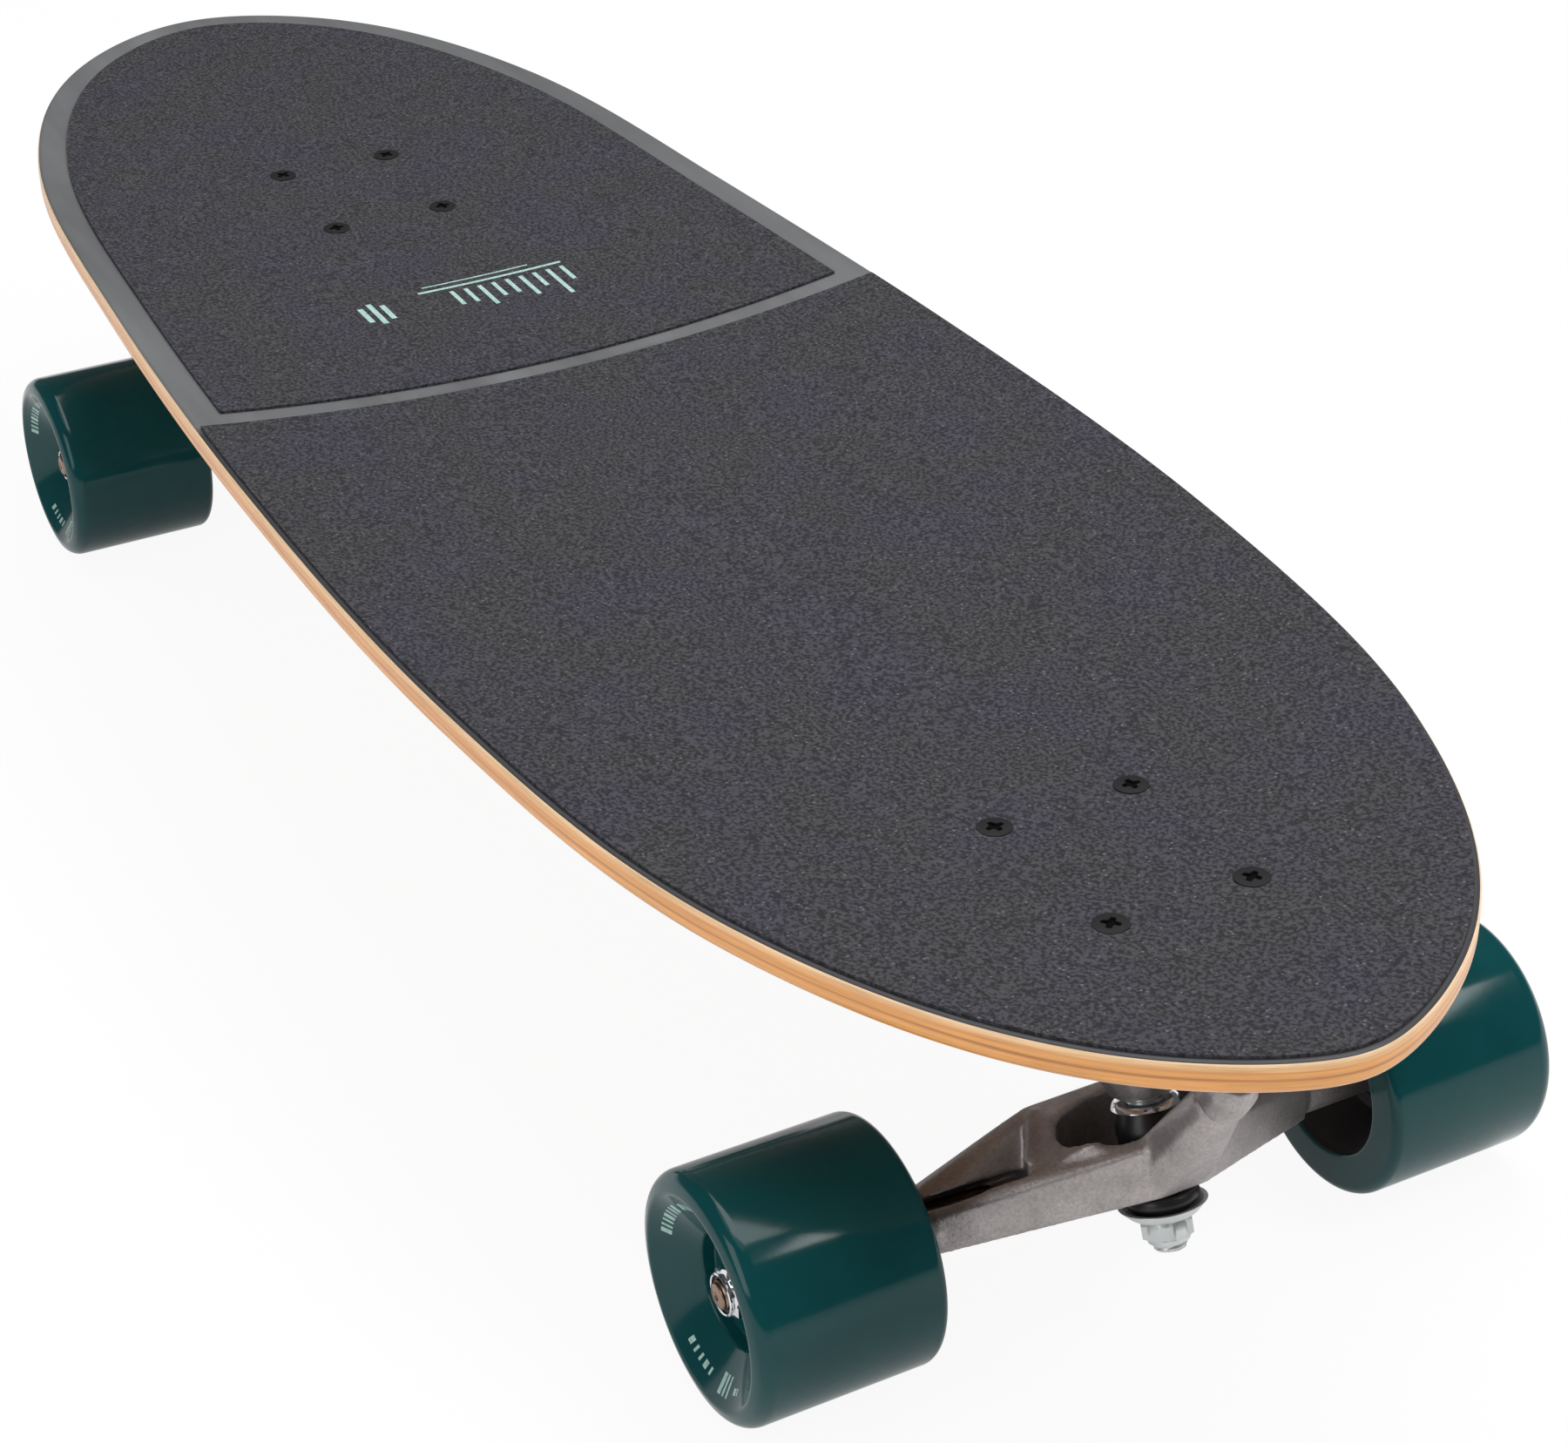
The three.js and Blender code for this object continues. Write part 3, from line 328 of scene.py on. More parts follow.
edgeLook = dict(
    # ply colours from the bottom of the edge (0) to its top (1); the pale top stops are partly a painted
    # highlight along the rounded top edge
    pliesAndTopHighlight=[
        (0.0, (0.96, 0.86, 0.70)), (0.07, (0.90, 0.62, 0.34)), (0.13, (0.84, 0.36, 0.09)),
        (0.36, (0.92, 0.44, 0.13)), (0.43, (0.88, 0.40, 0.11)), (0.49, (0.56, 0.21, 0.05)),
        (0.55, (0.90, 0.42, 0.12)), (0.70, (0.90, 0.41, 0.12)), (0.86, (0.97, 0.64, 0.35)),
        (1.0, (0.98, 0.80, 0.60)),
    ],
    wander=0.05, wanders=9, fibresAlong=26.0, fibresAcross=9.0,
    fibres=[(0.28, (0.64, 0.58, 0.50)), (0.72, (1.12, 1.12, 1.12))],
    gloss=(0.5, 0.34), bump=(0.1, 0.0003), fixed={"Coat Weight": 0.35, "Coat Roughness": 0.22},
)
edge = Finish("layeredWoodEdge", (0.67, 0.34, 0.12), 0.42)
layer = edge.attribute("edgeLayer")
along = edge.attribute("edgeAlong")
wander = edge.span(edge.noise(edgeLook["wanders"], 2), -edgeLook["wander"], edgeLook["wander"])
pliesAndTopHighlight = edge.ramp(edge.math("ADD", layer, wander), edgeLook["pliesAndTopHighlight"])
lengthwise = edge.node("CombineXYZ", X=edge.math("MULTIPLY", along, edgeLook["fibresAlong"]),
    Y=edge.math("MULTIPLY", layer, edgeLook["fibresAcross"])).outputs["Vector"]
fibre = edge.node("TexNoise", Scale=1.0, Detail=6.0, Roughness=0.68, Vector=lengthwise).outputs["Fac"]
edge.dress(edgeLook, edge.mix(1.0, pliesAndTopHighlight, edge.ramp(fibre, edgeLook["fibres"]), "MULTIPLY"), fibre, fibre)

veneerLook = dict(
    figures=34, figureStretch=(0.09, 1, 1), pores=420, poreStretch=(0.05, 1, 1), poreShare=0.35,
    figure=[(0.3, (0.17, 0.080, 0.034)), (0.5, (0.26, 0.130, 0.058)), (0.72, (0.32, 0.195, 0.105))],
    pore=[(0.38, (0.11, 0.06, 0.032)), (0.5, (0.28, 0.165, 0.086))],
    gloss=(0.46, 0.34), bump=(0.08, 0.0003), fixed={"Coat Weight": 0.4, "Coat Roughness": 0.2},
)
veneer = Finish("walnutVeneer", (0.25, 0.14, 0.07), 0.4)
figure = veneer.noise(veneerLook["figures"], 5, veneerLook["figureStretch"], 0.62)
pores = veneer.noise(veneerLook["pores"], 2, veneerLook["poreStretch"])
walnut = veneer.mix(veneerLook["poreShare"], veneer.ramp(figure, veneerLook["figure"]),
    veneer.ramp(pores, veneerLook["pore"]))
veneer.dress(veneerLook, walnut, figure, pores)

castLook = dict(
    skin=1000, skinTones=[(0.34, (0.86, 0.85, 0.85)), (0.66, (1.1, 1.09, 1.09))],
    blotches=90, blotchTones=[(0.3, (0.37, 0.344, 0.342)), (0.7, (0.50, 0.468, 0.464))],
    gloss=(0.54, 0.36), bump=(0.36, 0.0004),
)
castMetal = Finish("rawCasting", (0.48, 0.45, 0.445), 0.45, 0.85)
skin = castMetal.noise(castLook["skin"], 3, roughness=0.7)
blotches = castMetal.noise(castLook["blotches"], 4, roughness=0.6)
metal = castMetal.mix(1.0, castMetal.ramp(blotches, castLook["blotchTones"]),
    castMetal.ramp(skin, castLook["skinTones"]), "MULTIPLY")
castMetal.dress(castLook, metal, skin, skin)

# tone runs from shade to 1 of the colour, gloss between two shares of the roughness
plainLook = dict(clouds=110, gloss=(1.2, 0.85), bumpDepth=0.0003)


def plainFinish(name, color, roughness, metallic, grain, bump, shade):
    made = Finish(name, color, roughness, metallic)
    cloudy = made.noise(plainLook["clouds"], 4, roughness=0.6)
    dark = tuple(c * shade for c in color)
    look = dict(gloss=[roughness * share for share in plainLook["gloss"]],
        bump=(bump, plainLook["bumpDepth"]))
    made.dress(look, made.ramp(cloudy, [(0.3, dark), (0.7, color)]), cloudy, made.noise(grain))
    return made


zinc = plainFinish("zincPlate", (0.76, 0.79, 0.79), 0.36, 0.75, grain=900, bump=0.08, shade=0.85)
chrome = plainFinish("brightChrome", (0.80, 0.80, 0.82), 0.09, 1.0, grain=500, bump=0.03, shade=0.85)
axleSteel = plainFinish("bronzedSteel", (0.36, 0.25, 0.19), 0.34, 1.0, grain=900, bump=0.12, shade=0.85)

boltLook = dict(head=(0.014, 0.014, 0.015), slot=(0.0004, 0.0004, 0.0004), grain=900, gloss=(0.5, 1.0),
    bump=(0.15, 0.0003), fixed={"Specular IOR Level": 0.15})
blackSteel = Finish("blackBoltSteel", (0.013, 0.013, 0.014), 0.5)
inSlot = blackSteel.attribute("slotShade")
# the cross slot's inside is painted near black, as painted shade in the recess
blackened = blackSteel.mix(inSlot, boltLook["head"], boltLook["slot"])
blackSteel.dress(boltLook, blackened, inSlot, blackSteel.noise(boltLook["grain"]))

cushionBlack = plainFinish("blackCushion", (0.014, 0.014, 0.015), 0.35, 0, grain=700, bump=0.08, shade=0.8)
socketPlastic = plainFinish("socketPlastic", (0.03, 0.03, 0.032), 0.6, 0, grain=800, bump=0.1, shade=0.8)
# black nylon for the nuts' rings, and painted shade in the wheels' inner recess
nylonAndShade = plainFinish("blackNylonAndShade", (0.02, 0.02, 0.022), 0.5, 0, grain=800, bump=0.1, shade=0.8)

tealLook = dict(swirls=40, tones=[(0.3, (0.0018, 0.046, 0.051)), (0.7, (0.0030, 0.058, 0.062))],
    clouds=260, gloss=(0.09, 0.15), grain=900, bump=(0.03, 0.0002), fixed={"Specular IOR Level": 0.3})
urethane = Finish("tealUrethane", (0.002, 0.047, 0.052), 0.12)
teal = urethane.ramp(urethane.noise(tealLook["swirls"], 3), tealLook["tones"])
urethane.dress(tealLook, teal, urethane.noise(tealLook["clouds"], 3), urethane.noise(tealLook["grain"]))

mintLook = dict(wear=900, tones=[(0.3, (0.26, 0.42, 0.39)), (0.6, (0.40, 0.60, 0.55))])
mint = Finish("mintPrint", (0.42, 0.66, 0.60), 0.55)
mint.fix("Base Color", mint.ramp(mint.noise(mintLook["wear"], 3), mintLook["tones"]))
print("finishes made")


# the deck's form, which the solids share

deckShape = dict(
    length=0.804, width=0.250, thickness=0.0095,
    fullness=[1.105, 1.197, 1.132, 1.009, 0.998, 1.067, 1.161, 1.124, 0.814],
    topEdge=0.002, bottomEdge=0.0032, spine=0.8,
    lowPoint=0.196, tailKick=0.0163, tailPower=3.13, noseKick=0.0086, nosePower=2.0, concave=0.0072,
    outlineSteps=440, shareSteps=24, edgeSteps=7, veneerRows=3, rimFade=0.001,
)
gripShape = dict(
    thickness=0.0007, lift=0.00004, frontInset=0.0021, padInset=0.0115, bandBehind=0.044, bandWidth=0.009,
    bandBow=0.005, rows=270, columns=160, dimple=0.0003, dimpleRadius=0.0058, well=0.00058,
    wellRadius=0.0047, boltAlong=0.027, boltAcross=0.02065,
)
noseX = deckShape["length"] / 2
tailX = -noseX
wheelRadius = 0.034
seatGap = 0.0003


def halfWidth(angle, inset):
    # (width/2 - inset) * sin(angle) * fullness, where fullness is a Catmull-Rom curve through the shares
    shares = np.array(deckShape["fullness"])
    last = len(shares) - 1
    t = np.clip(np.asarray(angle, float) / np.pi, 0, 1) * last
    k = np.minimum(t.astype(int), last - 1)
    f = t - k
    p0, p1 = shares[np.maximum(k - 1, 0)], shares[k]
    p2, p3 = shares[k + 1], shares[np.minimum(k + 2, last)]
    v0, v1 = (p2 - p0) / 2, (p3 - p1) / 2
    fullness = ((2 * p1 - 2 * p2 + v0 + v1) * f ** 3 + (-3 * p1 + 3 * p2 - 2 * v0 - v1) * f ** 2
        + v0 * f + p1)
    return (deckShape["width"] / 2 - inset) * np.sin(angle) * fullness


def halfWidthAt(x, inset):
    return halfWidth(np.arccos(np.clip(-x / (noseX - inset), -1, 1)), inset)


def bendHeight(x, y):
    # end kicks grow as a power of the distance from the low point, the sides as the square of y
    s = deckShape
    back = np.clip((s["lowPoint"] - x) / (s["lowPoint"] - tailX), 0, None)
    ahead = np.clip((x - s["lowPoint"]) / (noseX - s["lowPoint"]), 0, None)
    kick = s["tailKick"] * back ** s["tailPower"] + s["noseKick"] * ahead ** s["nosePower"]
    return kick + s["concave"] * (y / (s["width"] / 2)) ** 2


def bendTilt(x, step=1e-5):
    return math.atan(abs(bendHeight(x + step, 0) - bendHeight(x - step, 0)) / (2 * step))


# the trucks' places, which the solids share, in metres from the pad and from the axle

truckShape = dict(
    front=dict(mount=0.2985, axleReach=-0.004, axleDrop=0.0846, washerReach=0.0251, washerRise=0.0016,
        pivotReach=0.0506, pivotRise=0.0492, lean=math.radians(18.8)),
    rear=dict(mount=-0.2127, axleReach=0.0305, washerReach=-0.023, washerRise=-0.001,
        pivotReach=0.019, pivotRise=0.031, lean=math.radians(-8)),
)
stackShape = dict(
    webThickness=0.006, bushingGap=0.0004, boardBushing=0.0156, boardWasherDepth=0.0026, washerWall=0.0013,
    roadBushingRise=0.0032, bossWall=0.009, headHeight=0.005, roadWasherDepth=0.0042, nutHeight=0.007,
)
front = truckShape["front"]
front["tilt"] = bendTilt(front["mount"])
front["pad"] = (wheelRadius + front["axleDrop"] * math.cos(front["tilt"])
    - front["axleReach"] * math.sin(front["tilt"]))
lowTop = front["pad"] + seatGap + deckShape["thickness"] - float(bendHeight(front["mount"], 0))


def deckTop(x, y):
    return lowTop + bendHeight(x, y)


rear = truckShape["rear"]
rear["tilt"] = bendTilt(rear["mount"])
rear["pad"] = float(deckTop(rear["mount"], 0)) - deckShape["thickness"] - seatGap
rear["axleDrop"] = ((rear["pad"] - wheelRadius + rear["axleReach"] * math.sin(rear["tilt"]))
    / math.cos(rear["tilt"]))


def truckStands(name):
    # the pad's stand, and from it the axle, kingpin and pivot stands
    t, s = truckShape[name], stackShape
    way = 1 if name == "front" else -1
    reach = np.array([way * math.cos(t["tilt"]), 0, math.sin(t["tilt"])])
    up = np.array([-way * math.sin(t["tilt"]), 0, math.cos(t["tilt"])])
    pad = Stand((t["mount"], 0, t["pad"]), up, reach)
    axle = pad.at(t["axleReach"], 0, -t["axleDrop"])
    kingpinUp = -math.sin(t["lean"]) * reach + math.cos(t["lean"]) * up
    rim = axle + t["washerReach"] * reach + t["washerRise"] * up
    webBottom = s["roadBushingRise"] + s["bushingGap"]
    webTop = webBottom + s["webThickness"]
    washerRim = webTop + s["bushingGap"] + s["boardBushing"]
    bossSeat = washerRim + s["boardWasherDepth"] + s["washerWall"] + seatGap
    seat = rim + kingpinUp * (webBottom + webTop) / 2
    pivot = axle + t["pivotReach"] * reach + t["pivotRise"] * up
    return dict(
        pad=pad, axle=Stand(axle, (0, 1, 0), up), kingpin=Stand(rim, kingpinUp, reach),
        pivot=Stand(pivot, pivot - seat, reach), webTop=webTop, washerRim=washerRim, bossSeat=bossSeat,
    )


stands = {name: truckStands(name) for name in truckShape}


def deckRing(share, inset, drop):
    # outline point at an even turn, drawn toward the spine by the share, dropped below the top
    turnAngle = roundTurn(deckShape["outlineSteps"])
    angle = np.where(turnAngle <= np.pi, turnAngle, 2 * np.pi - turnAngle)
    side = np.where(turnAngle <= np.pi, -1, 1)
    rimX = -(noseX - inset) * np.cos(angle)
    rimY = side * halfWidth(angle, inset)
    x = rimX * (deckShape["spine"] + (1 - deckShape["spine"]) * share)
    y = rimY * share
    return np.stack([x, y, deckTop(x, y) - drop], -1)


def makeDeck():
    # rings from the middle of the top over the rounded edge to the middle of the underside
    s = deckShape
    shares = np.linspace(0, 1, s["shareSteps"])[:-1]
    bend = np.linspace(0, np.pi / 2, s["edgeSteps"])
    rows = [(share, s["topEdge"], 0.0) for share in shares]
    rows += [(1, s["topEdge"] * (1 - math.sin(a)), s["topEdge"] * (1 - math.cos(a))) for a in bend]
    edgeStart = len(shares) + s["edgeSteps"] // 2
    rows += [(1, s["bottomEdge"] * (1 - math.cos(a)), s["thickness"] - s["bottomEdge"] * (1 - math.sin(a)))
        for a in bend]
    edgeEnd = len(rows) - s["veneerRows"]
    rows += [(share, s["bottomEdge"], s["thickness"]) for share in shares[::-1]]
    grid = np.array([deckRing(*row) for row in rows])
    number = np.zeros(len(rows) - 1, int)  # painted top, then wood edge, then veneer
    number[edgeStart:] = 1
    number[edgeEnd:] = 2
    rim = deckRing(1, 0, 0)
    steps = np.linalg.norm(np.diff(rim, axis=0, append=rim[:1]), axis=1)
    length = np.concatenate([[0], np.cumsum(steps)[:-1]])
    length = np.minimum(length, length[-1] - length)  # both sides start from the tail
    drop = np.array([row[2] for row in rows])
    across = grid[..., 1] / (s["width"] / 2)
    bandFront = gripShape["bandWidth"] / 2 - gripShape["bandBehind"] - gripShape["bandBow"] * across ** 2
    attributes = dict(
        edgeAlong=np.broadcast_to(length, grid.shape[:2]),
        edgeLayer=np.broadcast_to((1 - drop / s["thickness"])[:, None], grid.shape[:2]),
        # dark ahead of the band: darker paint with painted shade on the rim
        rimPaintAndShade=np.clip((grid[..., 0] - bandFront) / s["rimFade"], 0, 1),
    )
    makePiece("deck_board", [shell(grid, number=number)], [paint, edge, veneer], "deck",
        sharpAngle=40, attributes=attributes)


makeDeck()
print("deck made")


def boltCentres(name):
    # where each bolt's line meets the grip's top
    pad = stands[name]["pad"]
    height = seatGap * 2 + deckShape["thickness"] + gripShape["thickness"]
    return [(i, j, pad.at(i * gripShape["boltAlong"], j * gripShape["boltAcross"], height))
            for i in (1, -1) for j in (1, -1)]


def gripSurface(name, way, inset):
    # x runs from the bowed band edge to the end as a sine, y is a share of the half width there
    s = gripShape
    along = np.sin(np.linspace(0, np.pi / 2, s["rows"]))[:, None]
    across = np.linspace(-1, 1, s["columns"])[None, :]
    startX = -s["bandBehind"] + way * s["bandWidth"] / 2 - s["bandBow"] * across ** 2
    x = startX + (way * (noseX - inset) - startX) * along
    y = across * halfWidthAt(x, inset)
    top = deckTop(x, y) + seatGap + s["thickness"]
    for _, _, centre in boltCentres(name):
        away = np.hypot(x - centre[0], y - centre[1])
        top = (top - s["dimple"] * np.exp(-(away / s["dimpleRadius"]) ** 4)
            - s["well"] * np.exp(-(away / s["wellRadius"]) ** 8))
    return np.stack([x, y, top], -1), np.stack([x, y, deckTop(x, y) + s["lift"]], -1)


def makeGrip(name, node, truckName, way, inset):
    # an upper and a lower surface, joined by a wall round their rims
    upper, lower = gripSurface(truckName, way, inset)
    rims = [np.vstack([grid[0], grid[1:, -1], grid[-1, -2::-1], grid[-2:0:-1, 0]])
        for grid in (upper, lower)]
    surfaces = [patch(upper), patch(lower), shell(np.stack(rims))]
    makePiece(name, surfaces, [grip], node, sharpAngle=30)


makeGrip("grip_sheet", "grip_sheet_front", "front", 1, gripShape["frontInset"])
makeGrip("grip_pad", "grip_pad_rear", "rear", -1, gripShape["padInset"])

# plain bars across the rear pad, three and a row between two lines:
# [place along, place across, half length along, half length across]
padMarks = dict(
    lift=0.00006, steps=12, foot=-0.1150, firstBar=-0.0060, spacing=0.0052, halfBar=0.0008,
    reaches=(0.0060, 0.0060, 0.0085, 0.0060, 0.0060, 0.0085, 0.0060, 0.0110, 0.0060),
    bars=[
        (-0.1090, -0.0358, 0.0086, 0.0010), (-0.1090, -0.0318, 0.0060, 0.0010),
        (-0.1090, -0.0398, 0.0060, 0.0010), (-0.1222, 0.0060, 0.0004, 0.0200),
        (-0.1184, 0.0100, 0.0007, 0.0270),
    ],
)


def makePadMarks():
    s = padMarks
    row = [(s["foot"] + reach, s["firstBar"] + s["spacing"] * k, reach, s["halfBar"])
        for k, reach in enumerate(s["reaches"])]
    surfaces = []
    for placeX, placeY, halfX, halfY in s["bars"] + row:
        x = placeX + halfX * np.linspace(-1, 1, s["steps"])[:, None]
        y = placeY + halfY * np.linspace(-1, 1, s["steps"])[None, :]
        surfaces.append(patch(x, y, deckTop(x, y) + seatGap + gripShape["thickness"] + s["lift"]))
    makePiece("grip_pad_marks", surfaces, [mint])


makePadMarks()
print("grip made")


boltShape = dict(
    shank=0.0024, head=0.0047, headHeight=0.0029, headEdge=0.0003, dome=0.00025, sink=0.4, tip=0.0012,
    slotLength=0.0026, slotWidth=0.0009, slotDepth=0.0008, slotEnd=0.0004, slotWall=0.00015,
    slotTaper=(1.25, 0.5), shadeGain=4, nutFlats=0.0095, nutHeight=0.0052, plate=0.006, pitch=0.0009,
    threadDepth=0.0003, threadTop=-0.001, chamfer=0.0006, turns=(0.35, 1.1, 0.7), headRings=40, sides=96,
    shankSides=32,
)


def crossSlot(x, y):
    # depth share: 1 inside either arm of the cross, falling to 0 over its end and its wall
    s = boltShape

    def arm(along, across):
        wide, narrowing = s["slotTaper"]
        half = s["slotWidth"] * (wide - np.abs(along) / s["slotLength"] * narrowing)
        return (np.clip((s["slotLength"] - np.abs(along)) / s["slotEnd"], 0, 1)
                * np.clip((half - np.abs(across)) / s["slotWall"], 0, 1))

    return np.maximum(arm(x, y), arm(y, x))


def gripLevel(stand):
    # height of the grip's top over the pad at a bolt
    x, y, _ = stand.origin
    above = np.array([x, y, deckTop(x, y) + seatGap + gripShape["thickness"]]) - stand.origin
    return float(np.dot(above, stand.axis))


def makeBolt(name, node, stand, turnBy):
    # a domed head with a cross in it, a cone under it, a plain shank and a thread
    s = boltShape
    sides, shank = s["sides"], s["shank"]
    top = gripLevel(stand) - s["sink"] * gripShape["dimple"]
    tip = -s["plate"] - seatGap - s["nutHeight"] - s["tip"]
    radius = np.linspace(0, s["head"], s["headRings"])[:, None]
    angle = roundTurn(sides)[None, :] + turnBy
    x, y = radius * np.cos(angle), radius * np.sin(angle)
    spin = math.cos(turnBy), math.sin(turnBy)
    depth = crossSlot(x * spin[0] + y * spin[1], -x * spin[1] + y * spin[0])
    face = stand.at(x, y, top + s["dome"] * (1 - (radius / s["head"]) ** 2) - s["slotDepth"] * depth)
    cone = [[s["head"], top], [s["head"], top - s["headEdge"]], [shank, top - s["headHeight"]], [shank, 0]]
    surfaces = [
        shell(face),
        turned(cone, stand, sides, turnBy),
        threaded(shank, tip, s["threadTop"], s["pitch"], s["threadDepth"], stand, s["shankSides"]),
        turned([[0, 0], [shank, 0]], stand, sides, turnBy),
        turned([[0, tip], [shank - s["chamfer"], tip]], stand, s["shankSides"]),
        turned([[shank - s["chamfer"], s["threadTop"]], [0, s["threadTop"]]], stand, s["shankSides"]),
    ]
    shade = [np.clip(depth.ravel() * s["shadeGain"], 0, 1)]
    shade += [np.zeros(grid[..., 0].size) for grid, *_ in surfaces[1:]]
    makePiece(name, surfaces, [blackSteel], node, sharpAngle=30,
        attributes=dict(slotShade=np.concatenate(shade)))


def lockNut(stand, bottom, height, acrossFlats, shank, collar=0.72, gap=0.0001):
    # a hexagon cut by two cones, with a round collar that holds a nylon ring: [radius, share of the height]
    flat, hole = acrossFlats / 2, shank + gap
    corner = flat / math.cos(math.pi / 6)
    steel = [(hole, 0), (flat * 0.94, 0), (corner, 0.13), (corner, 0.64), (flat * 0.93, 0.76),
        (flat * 0.86, 0.78), (flat * (collar + 0.12), 0.95), (flat * (collar + 0.06), 1),
        (flat * collar, 0.96)]
    ring = [(flat * collar, 0.96), (flat * (collar - 0.02), 0.86), (hole + gap, 0.84), (hole, 0.80),
        (hole, 0)]
    steel, ring = ([[radius, bottom + height * share] for radius, share in rows] for rows in (steel, ring))
    return [hexTurned(steel, stand, acrossFlats), turned(ring, stand, number=1)]


def makeBolts(name, pad):
    s = boltShape
    for i, j, _ in boltCentres(name):
        corner = ("outer" if i > 0 else "inner") + ("_a" if j > 0 else "_b")
        place = pad.at(i * gripShape["boltAlong"], j * gripShape["boltAcross"], 0)
        here = Stand(place, pad.axis, pad.ahead)
        turnBy = s["turns"][0] + s["turns"][1] * i + s["turns"][2] * j
        makeBolt(f"{name}_bolt_{corner}", f"{name}_deck_bolt_{corner}", here, turnBy)
        nut = lockNut(here.flipped(), s["plate"] + seatGap, s["nutHeight"], s["nutFlats"], s["shank"])
        makePiece(f"{name}_bolt_nut_{corner}", nut, [blackSteel, nylonAndShade],
            f"{name}_deck_nut_{corner}")


for name, stand in stands.items():
    makeBolts(name, stand["pad"])
print("bolts made")


# castings: the solids' own forms, melted together and rounded as sand casting leaves them

castShape = dict(voxel=0.0007, merge=1e-6, plateRounds=8, hangerRounds=7, rounding=0.5)
slotShape = dict(start=(0.3008, 0.0610, 0.0419), end=(0.3046, 0.0300, 0.0438), through=(0.77, 0.08, 0.63),
    halfWidth=0.0017, halfDepth=0.0075)
ribShape = dict(start=(0.2937, 0.0212, 0.0538), end=(0.3106, 0.0327, 0.0504), through=(0, 0, 1),
    radius=0.0021)


def bar(start, end, through, wide, deep, rows=24, sides=24):
    # an ellipse carried from start to end, shrinking to nothing at both as sqrt(1 - (2t - 1)^8)
    start, end = np.array(start), np.array(end)
    along = unit(end - start)
    depthWay = unit(np.array(through) - np.dot(through, along) * along)
    widthWay = np.cross(along, depthWay)
    t = (1 - np.cos(np.linspace(0, np.pi, rows)))[:, None, None] / 2
    size = np.sqrt(np.clip(1 - (2 * t - 1) ** 8, 0, 1)) + 1e-4
    angle = roundTurn(sides)[None, :, None]
    ring = deep * np.cos(angle) * depthWay + wide * np.sin(angle) * widthWay
    return start + (end - start) * t + size * ring


def barMesh(name, shape, wide, deep):
    # the bar on both sides of the board as one mesh, each end filled by one face
    points, faces, start = [], [], 0
    for side in (-1, 1):
        ends = ((x, side * y, z) for x, y, z in (shape["start"], shape["end"], shape["through"]))
        grid = bar(*ends, wide, deep)
        rows, sides = grid.shape[:2]
        last = start + (rows - 1) * sides
        points.append(grid.reshape(-1, 3))
        faces += (gridFaces(rows, sides, False, True) + start).tolist()
        faces += [list(range(first, first + sides)) for first in (start, last)]
        start += rows * sides
    mesh = bpy.data.meshes.new(name)
    mesh.from_pydata(np.vstack(points), [], faces)
    return faceOutward(mesh, mergeFirst=False)


def change(piece, name, kind, **values):
    made = piece.modifiers.new(name, kind)
    for key, value in values.items():
        setattr(made, key, value)


def makeCasting(name, node, body, rounds, slots=None, ribs=None):
    # the solid and its ribs are melted into one skin, the slots are cut, and the skin is smoothed
    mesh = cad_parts[node].data.copy()
    mesh.materials.clear()
    work = bmesh.new()
    work.from_mesh(mesh)
    if ribs:
        work.from_mesh(ribs)
    bmesh.ops.remove_doubles(work, verts=work.verts, dist=castShape["merge"])
    work.to_mesh(mesh)
    work.free()
    melt = dict(mode="VOXEL", voxel_size=castShape["voxel"])
    helpers = [link("castingWork", mesh)]
    change(helpers[0], "melt", "REMESH", **melt)
    if slots:
        helpers.append(link("slotWork", slots))
        change(helpers[0], "slots", "BOOLEAN", operation="DIFFERENCE", object=helpers[1])
        change(helpers[0], "meltAgain", "REMESH", **melt)
    change(helpers[0], "round", "SMOOTH", factor=castShape["rounding"], iterations=rounds)
    shown = helpers[0].evaluated_get(bpy.context.evaluated_depsgraph_get())
    made = bpy.data.meshes.new_from_object(shown)
    for helper in helpers:
        bpy.data.objects.remove(helper)
    finishPiece(name, made, [castMetal], node, body, sharpAngle=60)


hangerSlots = barMesh("hangerSlots", slotShape, slotShape["halfWidth"], slotShape["halfDepth"])
hangerRibs = barMesh("hangerRibs", ribShape, ribShape["radius"], ribShape["radius"])
for name, cuts in (("front", (hangerSlots, hangerRibs)), ("rear", ())):
    makeCasting(f"{name}_plate_casting", f"{name}_baseplate", "board", castShape["plateRounds"])
    makeCasting(f"{name}_hanger_casting", f"{name}_hanger", f"{name}_hanger_body",
        castShape["hangerRounds"], *cuts)
print("castings made")


pinShape = dict(
    radius=0.0047, hole=0.005, headFlats=0.0135, crown=0.0058, headRadius=0.0079, bevel=0.0009,
    headWall=0.0045, headFoot=0.0064, nutFlats=0.0134, tip=0.002, endStep=0.0001, pitch=0.0014,
    threadDepth=0.00042, threadFoot=0.0007, threadRelief=0.0004, chamfer=0.0012, chamferTop=0.00084,
    threadSides=48,
)
cupShape = dict(roadRadius=0.012, roadFloor=0.0086, boardRadius=0.0095, rimDrop=0.0008,
    rounds=[0.0002, 0.0012, 0.0003, 0.0003, 0.001, 0.0002])
cushionShape = dict(
    gap=0.0003, roadGap=0.0006, roadTop=0.0094, radius=0.0092, waist=0.0086, neckGap=0.0009,
    roadRounds=[0.0002, 0.0005, 0.001, 0.0014, 0.0012, 0.0002],
    boardRounds=[0.0002, 0.0009, 0.002, 0.002, 0.0025, 0.0008, 0.0003, 0.0002], steps=6,
)
socketShape = dict(inner=0.0041, outer=0.0054, top=0.0075, mouth=-0.0015, wall=0.0013, sides=64,
    rounds=[0.0001, 0.0004, 0.0003, 0.0003, 0.0006])


